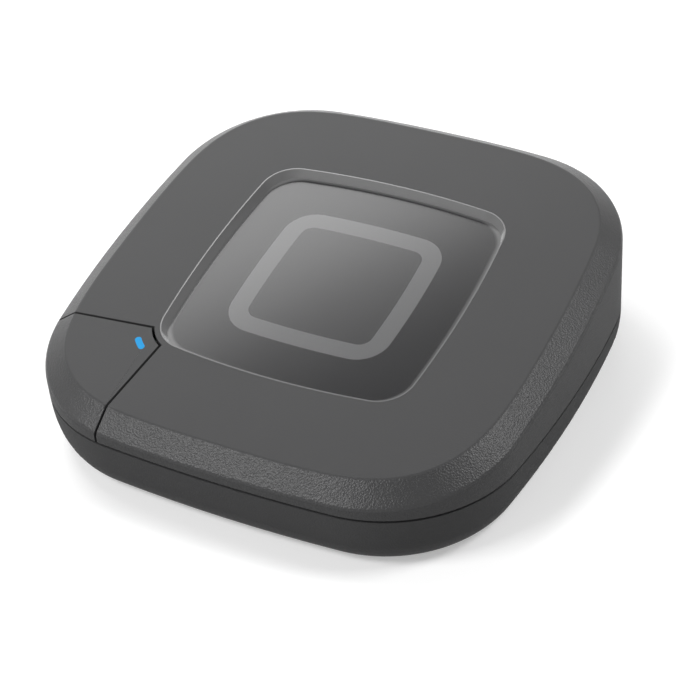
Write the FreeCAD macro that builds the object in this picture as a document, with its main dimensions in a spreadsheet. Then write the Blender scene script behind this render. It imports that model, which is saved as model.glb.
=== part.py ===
import FreeCAD, Part
import math
import os

import Sketcher

# Driving sizes, in millimetres and degrees. X runs to the right, Y to the back, Z up from the table.
SIZES = {
    # outline of the housing seen from above: a square whose four sides bow outwards
    "width": 110.0,
    "depth": 109.0,
    "bow_sides": 5.5,
    "bow_ends": 4.05,
    "corner_radius": 29.6,
    # heights at the middle of the housing, and the slopes from front to back
    "foot_stand": 0.6,
    "top_height": 26.6,
    "top_tilt": 7.9,
    "chamfer_run": 4.8,
    "chamfer_drop": 3.25,
    "parting_height": 11.85,
    "parting_tilt": 2.1,
    "parting_gap": 0.6,
    # walls
    "cover_wall": 2.0,
    "cover_top": 2.0,
    "chamfer_wall": 1.5,
    "shell_wall": 3.0,
    "shell_floor": 2.2,
    "shell_round": 5.0,
    "lip_clearance": 0.12,
    "lip_rise": 1.4,
    # window tray in the top, and the band inlaid in its floor
    "window_half_x": 30.75,
    "window_half_y": 31.05,
    "window_bow_sides": 2.05,
    "window_bow_ends": 2.5,
    "window_corner": 8.0,
    "window_clearance": 0.05,
    "window_recess": 2.0,
    "window_rim": 0.3,
    "window_slope": 0.9,
    "window_floor": 1.5,
    "flange_reach": 2.0,
    "adhesive_thickness": 0.2,
    "adhesive_margin": 0.2,
    "adhesive_width": 1.2,
    "adhesive_length": 28.0,
    "locating_rib": 1.0,
    "locating_depth": 1.6,
    "locating_gap": 0.3,
    "ring_half": 19.3,
    "ring_bow": 0.9,
    "ring_corner": 7.2,
    "ring_band": 4.3,
    "ring_depth": 0.6,
    # system button in the front left corner
    "button_line": 22.85,
    "button_angle": 5.6,
    "button_land": 1.3,
    "button_gap": 0.45,
    "button_travel": 0.4,
    "button_wall": 1.6,
    "catch_reach": 1.2,
    "catch_gap": 0.1,
    "catch_clearance": 0.3,
    "catch_thickness": 1.1,
    "catch_inset": 7.0,
    "guide_near": 34.0,
    "guide_far": 43.5,
    "guide_pin_radius": 1.5,
    "guide_clearance": 0.06,
    "guide_sleeve_radius": 2.9,
    "guide_sleeve_top": 12.0,
    "guide_pin_foot": 7.0,
    "guide_bore_foot": 5.0,
    "stem_radius": 2.0,
    "stem_gap": 0.05,
    # light guide through the button
    "light_x": -30.4,
    "light_y": -30.9,
    "light_length": 3.8,
    "light_width": 1.4,
    "light_gap": 0.3,
    "light_collar_radius": 2.6,
    "light_collar_height": 0.7,
    # main board
    "board_half_x": 39.0,
    "board_front": -39.5,
    "board_back_inset": 5.5,
    "board_front_corner": 6.0,
    "board_back_corner": 18.0,
    "board_base": 8.5,
    "board_thickness": 1.6,
    "board_post_radius": 3.0,
    "board_hole_radius": 1.4,
    "board_screw_radius": 1.1,
    "board_screw_length": 7.0,
    "board_pilot_spare": 0.4,
    "board_head_radius": 2.2,
    "board_head_height": 1.5,
    # case screws, from below into posts of the cover
    "case_screw_x": 44.5,
    "case_screw_back": 24.0,
    "case_screw_front": -12.0,
    "case_screw_radius": 1.5,
    "case_screw_length": 14.0,
    "case_head_radius": 2.8,
    "case_head_height": 2.0,
    "case_head_recess": 2.4,
    "case_recess_radius": 3.1,
    "case_hole_radius": 1.75,
    "case_boss_radius": 4.4,
    "case_boss_top": 8.0,
    "case_post_radius": 3.3,
    "case_post_gap": 0.1,
    "pilot_depth": 2.0,
    # feet and wall fixing
    "foot_x": 37.0,
    "foot_y": 34.0,
    "foot_radius": 5.0,
    "foot_recess": 0.8,
    "keyhole_x": 25.0,
    "keyhole_y": -4.0,
    "keyhole_entry_radius": 4.0,
    "keyhole_slot_radius": 2.1,
    "keyhole_slot_reach": 7.0,
    # network socket in the rear wall
    "network_x": -13.0,
    "network_width": 16.0,
    "network_height": 13.5,
    "network_length": 21.0,
    "network_setback": 0.6,
    "transformer_gap": 4.4,
    "transformer_depth": 9.0,
    "controller_gap": 3.0,
    "controller_depth": 9.0,
    "network_shield": 0.3,
    "network_mouth_width": 11.9,
    "network_mouth_height": 6.9,
    "network_mouth_base": 4.0,
    "network_mouth_depth": 14.0,
    "network_latch_width": 6.2,
    "network_latch_height": 1.6,
    "network_tongue_width": 3.4,
    "network_tongue_height": 1.1,
    "network_contacts": 8.0,
    "network_pitch": 1.02,
    "network_contact_width": 0.45,
    "network_contact_length": 8.0,
    "network_contact_thickness": 0.35,
    "network_contact_angle": 11.0,
    "network_contact_setback": 2.0,
    # power socket in the rear wall
    "power_x": 13.0,
    "power_width": 9.0,
    "power_height": 11.0,
    "power_length": 14.0,
    "power_axis": 6.4,
    "power_setback": 2.6,
    "power_bore_radius": 3.15,
    "power_bore_depth": 10.5,
    "power_pin_radius": 1.0,
    "power_pin_recess": 1.2,
    "power_pin_seat": 2.0,
    "power_leaf_width": 2.4,
    "power_leaf_thickness": 0.3,
    "power_leaf_length": 8.0,
    "power_leaf_setback": 1.0,
    "power_wall_hole_radius": 4.2,
    "socket_clearance": 0.15,
    # push switch under the button
    "switch_x": -35.2,
    "switch_y": -35.6,
    "switch_width": 6.0,
    "switch_body_height": 3.3,
    "switch_base": 1.1,
    "switch_bore_radius": 2.4,
    "switch_plate": 0.3,
    "switch_plate_hole": 1.75,
    "plunger_radius": 1.65,
    "plunger_foot_radius": 2.2,
    "plunger_height": 5.0,
    "dome_radius": 2.2,
    "dome_height": 0.8,
    "dome_thickness": 0.12,
    "plunger_gap": 0.05,
}

# Sizes that follow from the driving ones, as formulas on the same sheet
FORMULAS = {
    "button_roof": "cover_top + catch_gap + catch_thickness / 2",
    # the window's front left corner arc seen from above, and the light guide's place round it
    "window_side_radius": "(window_half_y^2 + window_bow_sides^2) / (2 * window_bow_sides)",
    "window_end_radius": "(window_half_x^2 + window_bow_ends^2) / (2 * window_bow_ends)",
    "window_side_x": "window_half_x - window_side_radius",
    "window_end_y": "window_half_y - window_end_radius",
    "window_span": "sqrt(window_side_x^2 + window_end_y^2)",
    "window_side_reach": "window_side_radius - window_corner",
    "window_end_reach": "window_end_radius - window_corner",
    "window_along": "(window_side_reach^2 - window_end_reach^2 + window_span^2) / (2 * window_span)",
    "window_across": "sqrt(window_side_reach^2 - window_along^2)",
    "notch_share_x": "window_side_x * window_along + window_end_y * window_across",
    "notch_share_y": "window_end_y * window_along - window_side_x * window_across",
    "notch_x": "notch_share_x / window_span - window_side_x",
    "notch_y": "-notch_share_y / window_span * cos(top_tilt)",
    "light_reach": "sqrt((light_x - notch_x)^2 + (light_y - notch_y)^2)",
    "light_spread": "(light_length - light_width) / 2 / light_reach * 180 / pi",
    # places that follow the rear wall
    "board_back": "depth / 2 - board_back_inset",
    "network_front": "depth / 2 - network_setback",
    "transformer_back": "network_front - network_length - transformer_gap",
    "transformer_y": "transformer_back - transformer_depth / 2",
    "controller_y": "transformer_back - transformer_depth - controller_gap - controller_depth / 2",
}

# Parts soldered on the main board: middle x, middle y, width, depth, height
CHIPS = {
    "processor": (4.0, -4.0, 17.0, 17.0, 1.4),
    "memory_chip": (-16.0, -4.0, 13.0, 8.0, 1.1),
    "flash_chip": (-16.0, -15.0, 6.0, 5.0, 1.6),
    "network_controller": ("Sizes.network_x", "Sizes.controller_y", 9.0, "Sizes.controller_depth", 1.0),
    "network_transformer": ("Sizes.network_x", "Sizes.transformer_y", 12.0, "Sizes.transformer_depth", 5.5),
    "voltage_regulator": (15.0, 12.0, 6.5, 6.5, 1.8),
    "power_inductor": (25.0, 14.0, 7.0, 7.0, 3.2),
    "crystal": (17.0, -8.0, 5.0, 3.2, 1.1),
    "status_led": (-30.4, -30.9, 3.2, 1.6, 1.1),
}

# Small ceramic parts round the processor and the regulator: middle x, middle y
CERAMIC_PARTS = {
    "memory_1": (-7.5, 3.0),
    "memory_2": (-7.5, -1.0),
    "memory_3": (-7.5, -5.0),
    "memory_4": (-7.5, -9.0),
    "processor_1": (15.5, 2.5),
    "processor_2": (15.5, -1.0),
    "processor_3": (8.0, 8.0),
    "processor_4": (4.0, 8.0),
    "processor_5": (0.0, 8.0),
    "regulator_1": (15.0, 19.0),
    "regulator_2": (19.5, 19.0),
    "crystal_1": (16.5, -13.0),
}
CERAMIC_SIZE = {"width": 1.6, "depth": 0.8, "height": 0.8}

# Electrolytic capacitors beside the power socket: middle x, middle y, radius, height
CAPACITORS = {"input": (27.5, 27.0, 3.15, 7.7), "output": (20.0, 26.5, 3.15, 7.7)}

# Radio module on the right of the board, with its shield can and aerial
RADIO = {"x": 28.5, "y": -17.0, "width": 16.0, "depth": 22.0, "board": 0.8, "can": 2.6, "can_margin": 1.2}
AERIAL = {"x": 37.6, "front": -26.0, "length": 34.0, "rise": 6.0, "strip": 2.4, "sheet": 0.5}

DOME_LEAN = 0.8
ROUND_STEPS = 4
SHANK_SIDES = 8
HEAD_SIDES = 12
FOOT_SIDES = 16

# Screw posts under the main board: middle x, middle y
BOARD_POSTS = {
    "back_left": (-30.0, 38.0),
    "back_right": (30.0, 38.0),
    "front_right": (33.0, -33.0),
    "front_left": (-19.0, -34.0),
}
BOARD_TOP = "(Sizes.board_base + Sizes.board_thickness)"
SHELL_FLOOR = "(Sizes.foot_stand + Sizes.shell_floor)"
TALL = "(2 * Sizes.top_height)"
NETWORK_FRONT = "Sizes.network_front"

HOUSING = ("Sizes.width / 2", "Sizes.depth / 2", "Sizes.bow_sides", "Sizes.bow_ends", "Sizes.corner_radius")
WINDOW = (
    "Sizes.window_half_x",
    "Sizes.window_half_y",
    "Sizes.window_bow_sides",
    "Sizes.window_bow_ends",
    "Sizes.window_corner",
)
RING = ("Sizes.ring_half", "Sizes.ring_half", "Sizes.ring_bow", "Sizes.ring_bow", "Sizes.ring_corner")

doc = FreeCAD.newDocument("access_point")
sheet = doc.addObject("Spreadsheet::Sheet", "Sizes")
lines = [(name, str(number)) for name, number in SIZES.items()]
lines += [(name, f"={formula}") for name, formula in FORMULAS.items()]
for row, (name, content) in enumerate(lines, start=1):
    sheet.set(f"A{row}", name)
    sheet.setAlias(f"B{row}", name)
    sheet.set(f"B{row}", content)
doc.recompute()


def value(expression):
    """The number that an expression on the sheet gives now."""
    return float(sheet.evalExpression(expression))


# Sketch helpers


def new_body(name):
    body = doc.addObject("PartDesign::Body", name)
    return body


def new_sketch(body, name, role="XY_Plane", height=None, tilt=None):
    """A sketch on one of the body's own planes, raised by height and leaned back by tilt."""
    sketch = body.newObject("Sketcher::SketchObject", name)
    plane = next(feature for feature in body.Origin.OriginFeatures if feature.Role == role)
    sketch.AttachmentSupport = [(plane, "")]
    sketch.MapMode = "FlatFace"
    if tilt is not None:
        sketch.AttachmentOffset = FreeCAD.Placement(
            FreeCAD.Vector(0, 0, 0), FreeCAD.Rotation(FreeCAD.Vector(1, 0, 0), value(tilt))
        )
        sketch.setExpression("AttachmentOffset.Rotation.Angle", tilt)
    if height is not None:
        sketch.setExpression("AttachmentOffset.Base.z", height)
    return sketch


def constrain(sketch, kind, *where, size=None):
    """Adds a constraint. A size is an expression, and the constraint stays tied to it."""
    if size is None:
        sketch.addConstraint(Sketcher.Constraint(kind, *where))
        return
    number = value(size)
    if kind == "Angle":
        number = math.radians(number)
        size = f"({size}) * 1 deg"
    index = sketch.addConstraint(Sketcher.Constraint(kind, *where, number))
    sketch.setExpression(f"Constraints[{index}]", size)


def place_point(sketch, geometry, point, x, y):
    """Ties one point of a sketch to a place given by two expressions."""
    for kind, axis, where in (("DistanceX", -2, x), ("DistanceY", -1, y)):
        number = value(where)
        if abs(number) < 1e-9:
            constrain(sketch, "PointOnObject", geometry, point, axis)
        elif number < 0:
            constrain(sketch, kind, geometry, point, -1, 1, size=f"-({where})")
        else:
            constrain(sketch, kind, -1, 1, geometry, point, size=where)


def draw_polygon(sketch, corners):
    """A closed polygon whose corners are pairs of expressions."""
    points = [FreeCAD.Vector(value(x), value(y), 0) for x, y in corners]
    first = sketch.GeometryCount
    for start, end in zip(points, points[1:] + points[:1]):
        sketch.addGeometry(Part.LineSegment(start, end))
    for index, (x, y) in enumerate(corners):
        previous = (index - 1) % len(corners)
        constrain(sketch, "Coincident", first + previous, 2, first + index, 1)
        place_point(sketch, first + index, 1, x, y)


def draw_regular_polygon(sketch, x, y, radius, sides=12):
    """A polygon whose corners lie on a circle."""
    turn = 360 / sides
    corners = [
        (f"{x} + ({radius}) * cos({step * turn})", f"{y} + ({radius}) * sin({step * turn})")
        for step in range(sides)
    ]
    draw_polygon(sketch, corners)


def draw_rectangle(sketch, left, front, right, back):
    draw_polygon(sketch, [(left, front), (right, front), (right, back), (left, back)])


def corner_centre(shape):
    """Middle of the corner arc in the first quadrant of a bowed outline, and its two bow radii."""
    half_x, half_y, bow_sides, bow_ends, corner = (value(item) for item in shape)
    side = (half_y**2 + bow_sides**2) / (2 * bow_sides)
    end = (half_x**2 + bow_ends**2) / (2 * bow_ends)
    side_reach = side - corner
    end_reach = end - corner
    middle = FreeCAD.Vector(half_x - side, 0, 0)
    other = FreeCAD.Vector(0, half_y - end, 0)
    gap = other - middle
    along = (side_reach**2 - end_reach**2 + gap.Length**2) / (2 * gap.Length)
    across = math.sqrt(side_reach**2 - along**2)
    unit = gap.normalize()
    return middle + unit * along + FreeCAD.Vector(-unit.y, unit.x, 0) * across, side, end


def draw_bowed_square(sketch, shape, inset="0"):
    """Four bowed sides and four round corners, every arc tangent to the next, set in by inset."""
    half_x, half_y, bow_sides, bow_ends, corner = shape
    side_radius = f"((({half_y})^2 + ({bow_sides})^2) / (2 * ({bow_sides})))"
    end_radius = f"((({half_x})^2 + ({bow_ends})^2) / (2 * ({bow_ends})))"
    knee, side, end = corner_centre(shape)
    side_x = side - value(half_x)
    end_y = end - value(half_y)
    low = math.atan2(knee.y, knee.x + side_x)
    high = math.atan2(knee.y + end_y, knee.x)
    shrink = value(inset)
    radii = {"side": side - shrink, "end": end - shrink, "corner": value(corner) - shrink}
    turn = math.pi
    arcs = [
        ("side", (-side_x, 0), -low, low),
        ("corner", (knee.x, knee.y), low, high),
        ("end", (0, -end_y), high, turn - high),
        ("corner", (-knee.x, knee.y), turn - high, turn - low),
        ("side", (side_x, 0), turn - low, turn + low),
        ("corner", (-knee.x, -knee.y), turn + low, turn + high),
        ("end", (0, end_y), turn + high, 2 * turn - high),
        ("corner", (knee.x, -knee.y), 2 * turn - high, 2 * turn - low),
    ]
    first = sketch.GeometryCount
    for kind, (x, y), start, stop in arcs:
        circle = Part.Circle(FreeCAD.Vector(x, y, 0), FreeCAD.Vector(0, 0, 1), radii[kind])
        sketch.addGeometry(Part.ArcOfCircle(circle, start, stop))
    for index in range(8):
        constrain(sketch, "Tangent", first + index, 2, first + (index + 1) % 8, 1)
    right, back, left, front = first, first + 2, first + 4, first + 6
    for index, axis in ((right, -1), (left, -1), (back, -2), (front, -2)):
        constrain(sketch, "PointOnObject", index, 3, axis)
    constrain(sketch, "DistanceX", right, 3, -1, 1, size=f"{side_radius} - ({half_x})")
    constrain(sketch, "DistanceX", -1, 1, left, 3, size=f"{side_radius} - ({half_x})")
    constrain(sketch, "DistanceY", back, 3, -1, 1, size=f"{end_radius} - ({half_y})")
    constrain(sketch, "DistanceY", -1, 1, front, 3, size=f"{end_radius} - ({half_y})")
    constrain(sketch, "Radius", right, size=f"{side_radius} - ({inset})")
    constrain(sketch, "Radius", back, size=f"{end_radius} - ({inset})")
    constrain(sketch, "Equal", right, left)
    constrain(sketch, "Equal", back, front)
    constrain(sketch, "Radius", first + 1, size=f"({corner}) - ({inset})")
    for index in (3, 5, 7):
        constrain(sketch, "Equal", first + 1, first + index)


# Feature helpers


def pad(body, sketch, length, symmetric=False, downwards=False):
    feature = body.newObject("PartDesign::Pad", sketch.Name + "_pad")
    feature.Profile = sketch
    feature.setExpression("Length", length)
    feature.SideType = "Symmetric" if symmetric else "One side"
    feature.Reversed = downwards
    doc.recompute()
    return feature


def pocket(body, sketch, length=None, symmetric=False):
    """Cuts the sketch out of the body, against its plane's normal, or to both sides."""
    before = body.Shape.Volume
    feature = body.newObject("PartDesign::Pocket", sketch.Name + "_pocket")
    feature.Profile = sketch
    if length is None:
        feature.Type = "ThroughAll"
    else:
        feature.setExpression("Length", length)
    feature.SideType = "Symmetric" if symmetric else "One side"
    doc.recompute()
    if body.Shape.Volume >= before:
        raise RuntimeError(f"{feature.Name} cuts nothing")
    return feature


def block(name, x, y, bottom, length, depth, height):
    """A box that stands on bottom, with its middle over x, y."""
    box = doc.addObject("Part::Box", name)
    for prop, size in (("Length", length), ("Width", depth), ("Height", height)):
        box.setExpression(prop, size)
    box.setExpression("Placement.Base.x", f"({x}) - ({length}) / 2")
    box.setExpression("Placement.Base.y", f"({y}) - ({depth}) / 2")
    box.setExpression("Placement.Base.z", bottom)
    return box


def rod(name, x, y, bottom, radius, height):
    """An upright cylinder."""
    cylinder = doc.addObject("Part::Cylinder", name)
    cylinder.setExpression("Radius", radius)
    cylinder.setExpression("Height", height)
    for axis, place in (("x", x), ("y", y), ("z", bottom)):
        cylinder.setExpression(f"Placement.Base.{axis}", place)
    return cylinder


def post(name, x, y, bottom, radius, height, sides=12):
    """An upright column with flat sides, for what is hidden or repeated. Radius reaches its corners."""
    prism = doc.addObject("Part::Prism", name)
    prism.Polygon = sides
    prism.setExpression("Circumradius", radius)
    prism.setExpression("Height", height)
    for axis, place in (("x", x), ("y", y), ("z", bottom)):
        prism.setExpression(f"Placement.Base.{axis}", place)
    return prism


def lay_along_y(column, x, front, z):
    """Lays an upright cylinder or prism down along Y, from front to the back."""
    column.Placement = FreeCAD.Placement(
        FreeCAD.Vector(0, 0, 0), FreeCAD.Rotation(FreeCAD.Vector(1, 0, 0), -90)
    )
    for axis, place in (("x", x), ("y", front), ("z", z)):
        column.setExpression(f"Placement.Base.{axis}", place)
    return column


def level_rod(name, x, front, z, radius, length):
    """A cylinder that lies along Y."""
    return lay_along_y(rod(name, x, front, z, radius, length), x, front, z)


def level_post(name, x, front, z, radius, length):
    """A column with flat sides that lies along Y."""
    return lay_along_y(post(name, x, front, z, radius, length), x, front, z)


def cut(name, base, tool):
    result = doc.addObject("Part::Cut", name)
    result.Base = base
    result.Tool = tool
    return result


def fuse(name, shapes):
    result = doc.addObject("Part::MultiFuse", name)
    result.Shapes = shapes
    return result


def common(name, first, second):
    result = doc.addObject("Part::Common", name)
    result.Base = first
    result.Tool = second
    return result


def group(name, shapes):
    """Separate solids that share one file."""
    result = doc.addObject("Part::Compound", name)
    result.Links = shapes
    return result


# Forms shared by the housing pieces


def slope_cut(body, name, height, tilt, above):
    """Cuts the body off at a plane that rises towards the back, above it or below it."""
    sketch = new_sketch(body, name, role="YZ_Plane")
    reach = "Sizes.depth"
    end = f"2 * {TALL}" if above else f"-{TALL}"
    front = f"({height}) - {reach} * tan({tilt})"
    back = f"({height}) + {reach} * tan({tilt})"
    draw_polygon(sketch, [(f"-{reach}", front), (reach, back), (reach, end), (f"-{reach}", end)])
    return pocket(body, sketch, symmetric=True, length="2 * Sizes.width")


def top_plane(drop="0"):
    """Height at the middle of a plane parallel to the top face and drop below it."""
    return f"(Sizes.top_height - ({drop}) / cos(Sizes.top_tilt))"


def sloped_block(name, inset, drop, scale):
    """The form of the upper housing, set in from its sides and its top. Scale sizes its chamfer."""
    body = new_body(name)
    outline = new_sketch(body, name + "_outline")
    draw_bowed_square(outline, HOUSING, inset)
    pad(body, outline, TALL)
    slope = slope_cut(body, name + "_slope", top_plane(drop), "Sizes.top_tilt", above=True)
    rise = math.tan(math.radians(value("Sizes.top_tilt")))
    height = value(top_plane(drop))
    rim = [
        f"Edge{index}"
        for index, edge in enumerate(slope.Shape.Edges, start=1)
        if all(abs(vertex.Z - height - vertex.Y * rise) < 1e-4 for vertex in edge.Vertexes)
    ]
    chamfer = body.newObject("PartDesign::Chamfer", name + "_chamfer")
    chamfer.Base = (slope, rim[:1])
    chamfer.ChamferType = "Two distances"
    chamfer.setExpression("Size", f"Sizes.chamfer_drop * ({scale})")
    chamfer.setExpression("Size2", f"Sizes.chamfer_run * ({scale})")
    doc.recompute()
    return body


def slab_under_top(name, inset, drop, thickness):
    """A plate parallel to the top face, drop below it, with the housing's outline set in."""
    body = new_body(name)
    outline = new_sketch(body, name + "_outline", height=top_plane(drop), tilt="Sizes.top_tilt")
    draw_bowed_square(outline, HOUSING, inset)
    pad(body, outline, thickness, downwards=True)
    return body


def notch_centre():
    """Middle of the window's front left corner arc, seen from above."""
    return FreeCAD.Vector(value("Sizes.notch_x"), value("Sizes.notch_y"), 0)


def corner_region(name, grow, notch_grow=None):
    """Upright prism over the button's corner: two straight cuts and a notch round the window corner.

    The two cuts move towards the middle by grow, and the notch by notch_grow where it differs.
    """
    body = new_body(name)
    sketch = new_sketch(body, name + "_outline")
    centre = notch_centre()
    far = value("Sizes.width")
    angle = math.radians(value("Sizes.button_angle"))
    offset = f"Sizes.button_line * cos(Sizes.button_angle) - ({grow})"
    radius = f"Sizes.window_corner + Sizes.button_land - ({notch_grow or grow})"
    start = value(offset) / math.cos(angle)
    slope = math.tan(angle)
    # the point where a cut line meets the notch: x from the notch circle, y on the line
    a = 1 + slope**2
    b = -2 * centre.x - 2 * slope * (start + centre.y)
    c = centre.x**2 + (start + centre.y) ** 2 - value(radius) ** 2
    meet_x = (-b - math.sqrt(b * b - 4 * a * c)) / (2 * a)
    meet = FreeCAD.Vector(meet_x, -start + slope * meet_x, 0)
    mirror_b = -2 * centre.y - 2 * slope * (start + centre.x)
    mirror_c = centre.y**2 + (start + centre.x) ** 2 - value(radius) ** 2
    mirror_y = (-mirror_b - math.sqrt(mirror_b**2 - 4 * a * mirror_c)) / (2 * a)
    mirror = FreeCAD.Vector(-start + slope * mirror_y, mirror_y, 0)
    left_end = FreeCAD.Vector(-far, -start - slope * far, 0)
    front_end = FreeCAD.Vector(-start - slope * far, -far, 0)
    far_corner = FreeCAD.Vector(-far, -far, 0)
    chain = [meet, left_end, far_corner, front_end, mirror]
    for first, second in zip(chain, chain[1:]):
        sketch.addGeometry(Part.LineSegment(first, second))
    from_angle = math.atan2(meet.y - centre.y, meet.x - centre.x) % (2 * math.pi)
    to_angle = math.atan2(mirror.y - centre.y, mirror.x - centre.x) % (2 * math.pi)
    circle = Part.Circle(centre, FreeCAD.Vector(0, 0, 1), value(radius))
    sketch.addGeometry(Part.ArcOfCircle(circle, from_angle, to_angle))
    for line in range(3):
        constrain(sketch, "Coincident", line, 2, line + 1, 1)
    constrain(sketch, "Coincident", 0, 1, 4, 1)
    constrain(sketch, "Coincident", 3, 2, 4, 2)
    constrain(sketch, "Vertical", 1)
    constrain(sketch, "Horizontal", 2)
    place_point(sketch, 1, 2, "-Sizes.width", "-Sizes.width")
    constrain(sketch, "Distance", -1, 1, 0, size=offset)
    constrain(sketch, "Distance", -1, 1, 3, size=offset)
    constrain(sketch, "Angle", 0, size="180 + Sizes.button_angle")
    constrain(sketch, "Angle", 3, size="90 - Sizes.button_angle")
    constrain(sketch, "Radius", 4, size=radius)
    constrain(sketch, "DistanceX", 4, 3, -1, 1, size="-Sizes.notch_x")
    constrain(sketch, "DistanceY", 4, 3, -1, 1, size="-Sizes.notch_y")
    pad(body, sketch, TALL)
    return body


def tilted_body(name):
    """A body whose XY plane is the housing's top face."""
    body = new_body(name)
    body.Placement = FreeCAD.Placement(
        FreeCAD.Vector(0, 0, value("Sizes.top_height")),
        FreeCAD.Rotation(FreeCAD.Vector(1, 0, 0), value("Sizes.top_tilt")),
    )
    body.setExpression("Placement.Base.z", "Sizes.top_height")
    body.setExpression("Placement.Rotation.Angle", "Sizes.top_tilt")
    return body


def outline_plate(body, name, shape, inset, top, thickness):
    """Adds a plate with a bowed outline to a body, from top downwards."""
    sketch = new_sketch(body, name, height=top)
    draw_bowed_square(sketch, shape, inset)
    return pad(body, sketch, thickness, downwards=True)


# Top cover, with the window opening, the button's corner and the socket holes cut out of it


def below_parting():
    """Everything under the plane where the upper housing ends."""
    body = new_body("below_parting")
    sketch = new_sketch(body, "below_parting_side", role="YZ_Plane")
    reach = "Sizes.depth"
    front = f"Sizes.parting_height + {reach} * tan(Sizes.parting_tilt)"
    back = f"Sizes.parting_height - {reach} * tan(Sizes.parting_tilt)"
    floor = f"-{reach}"
    draw_polygon(sketch, [(f"-{reach}", front), (f"-{reach}", floor), (reach, floor), (reach, back)])
    pad(body, sketch, "2 * Sizes.width", symmetric=True)
    return body


def cavity_scale(wall, roof):
    """Share of the outer chamfer that leaves the chamfer's own wall thickness above a cavity."""
    return (
        "(1 + Sizes.chamfer_wall * sqrt(1 / Sizes.chamfer_run^2 + 1 / Sizes.chamfer_drop^2)"
        f" - {wall} / Sizes.chamfer_run - {roof} / Sizes.chamfer_drop)"
    )


def make_top_cover(outer, cavity, below, catch_room):
    shell = cut("cover_shell", outer, cavity)
    trimmed = cut("cover_trimmed", shell, below)

    post_foot = "Sizes.case_boss_top + Sizes.case_post_gap"
    posts = [
        post(f"cover_post_{side}_{end}", f"{sign} * Sizes.case_screw_x", f"Sizes.case_screw_{end}",
             post_foot, "Sizes.case_post_radius", TALL)
        for side, sign in (("right", 1), ("left", -1))
        for end in ("back", "front")
    ]
    posts = common("cover_posts", fuse("cover_post_rods", posts), outer)

    rib = tilted_body("window_rib")
    rib_inset = "-(Sizes.flange_reach + Sizes.locating_gap + Sizes.locating_rib)"
    rib_top = "-Sizes.cover_top / 2"
    rib_depth = "Sizes.locating_depth + Sizes.cover_top / 2"
    outline_plate(rib, "window_rib_outline", WINDOW, rib_inset, rib_top, rib_depth)
    rib_hole = new_sketch(rib, "window_rib_hole", height=rib_top)
    draw_bowed_square(rib_hole, WINDOW, "-(Sizes.flange_reach + Sizes.locating_gap)")
    pocket(rib, rib_hole)
    joined = fuse("cover_joined", [trimmed, posts, cut("window_rib_trimmed", rib, catch_room)])

    opening = tilted_body("window_opening")
    above = "2 * Sizes.cover_top"
    outline_plate(opening, "window_opening_outline", WINDOW, "0", above, f"2 * ({above})")
    network_hole = block(
        "cover_network_hole", "Sizes.network_x", "Sizes.depth / 2", "0",
        "Sizes.network_width + 2 * Sizes.socket_clearance", "4 * Sizes.cover_wall",
        f"{BOARD_TOP} + Sizes.network_height + Sizes.socket_clearance",
    )
    power_hole = level_rod(
        "cover_power_hole", "Sizes.power_x", "Sizes.depth / 2 - 2 * Sizes.cover_wall",
        f"{BOARD_TOP} + Sizes.power_axis", "Sizes.power_wall_hole_radius", "4 * Sizes.cover_wall",
    )
    pilots = [
        post(f"cover_pilot_{side}_{end}", f"{sign} * Sizes.case_screw_x", f"Sizes.case_screw_{end}",
             "0", "Sizes.case_screw_radius",
             "Sizes.foot_stand + Sizes.case_head_recess + Sizes.case_screw_length + Sizes.pilot_depth",
             SHANK_SIDES)
        for side, sign in (("right", 1), ("left", -1))
        for end in ("back", "front")
    ]
    corner = corner_region("button_clearance", "Sizes.button_gap / 2")
    tools = fuse("cover_tools", [opening, network_hole, power_hole, corner] + pilots)
    return cut("top_cover", joined, tools)


# System button: the cover's front left corner as a cap of its own, with guide pins, stem and catch


def arc_slot(body, name, height=None):
    """Closed slot outline that bends round the notch centre, with round ends."""
    sketch = new_sketch(body, name, height=height)
    centre = notch_centre()
    spot = FreeCAD.Vector(value("Sizes.light_x"), value("Sizes.light_y"), 0)
    radius = value("Sizes.light_reach")
    half_width = value("Sizes.light_width") / 2
    middle = math.atan2(spot.y - centre.y, spot.x - centre.x)
    spread = math.radians(value("Sizes.light_spread"))
    axis = FreeCAD.Vector(0, 0, 1)
    ends = [
        centre + FreeCAD.Vector(math.cos(middle + turn), math.sin(middle + turn), 0) * radius
        for turn in (-spread, spread)
    ]
    outer = Part.Circle(centre, axis, radius + half_width)
    inner = Part.Circle(centre, axis, radius - half_width)
    sketch.addGeometry(Part.ArcOfCircle(outer, middle - spread, middle + spread))
    far_end = Part.Circle(ends[1], axis, half_width)
    sketch.addGeometry(Part.ArcOfCircle(far_end, middle + spread, middle + spread + math.pi))
    sketch.addGeometry(Part.ArcOfCircle(inner, middle - spread, middle + spread))
    near_end = Part.Circle(ends[0], axis, half_width)
    sketch.addGeometry(Part.ArcOfCircle(near_end, middle - spread + math.pi, middle - spread + 2 * math.pi))
    for first, first_point, second, second_point in ((0, 2, 1, 1), (1, 2, 2, 2), (2, 1, 3, 1), (3, 2, 0, 1)):
        constrain(sketch, "Tangent", first, first_point, second, second_point)
    constrain(sketch, "DistanceX", 0, 3, -1, 1, size="-Sizes.notch_x")
    constrain(sketch, "DistanceY", 0, 3, -1, 1, size="-Sizes.notch_y")
    constrain(sketch, "Coincident", 0, 3, 2, 3)
    constrain(sketch, "Radius", 0, size="Sizes.light_reach + Sizes.light_width / 2")
    constrain(sketch, "Radius", 2, size="Sizes.light_reach - Sizes.light_width / 2")
    constrain(sketch, "Distance", 1, 3, 3, 3, size="2 * Sizes.light_reach * sin(Sizes.light_spread)")
    constrain(sketch, "DistanceX", 1, 3, -1, 1, size=(
        "-(Sizes.notch_x + (Sizes.light_x - Sizes.notch_x) * cos(Sizes.light_spread)"
        " - (Sizes.light_y - Sizes.notch_y) * sin(Sizes.light_spread))"
    ))
    return sketch


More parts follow.
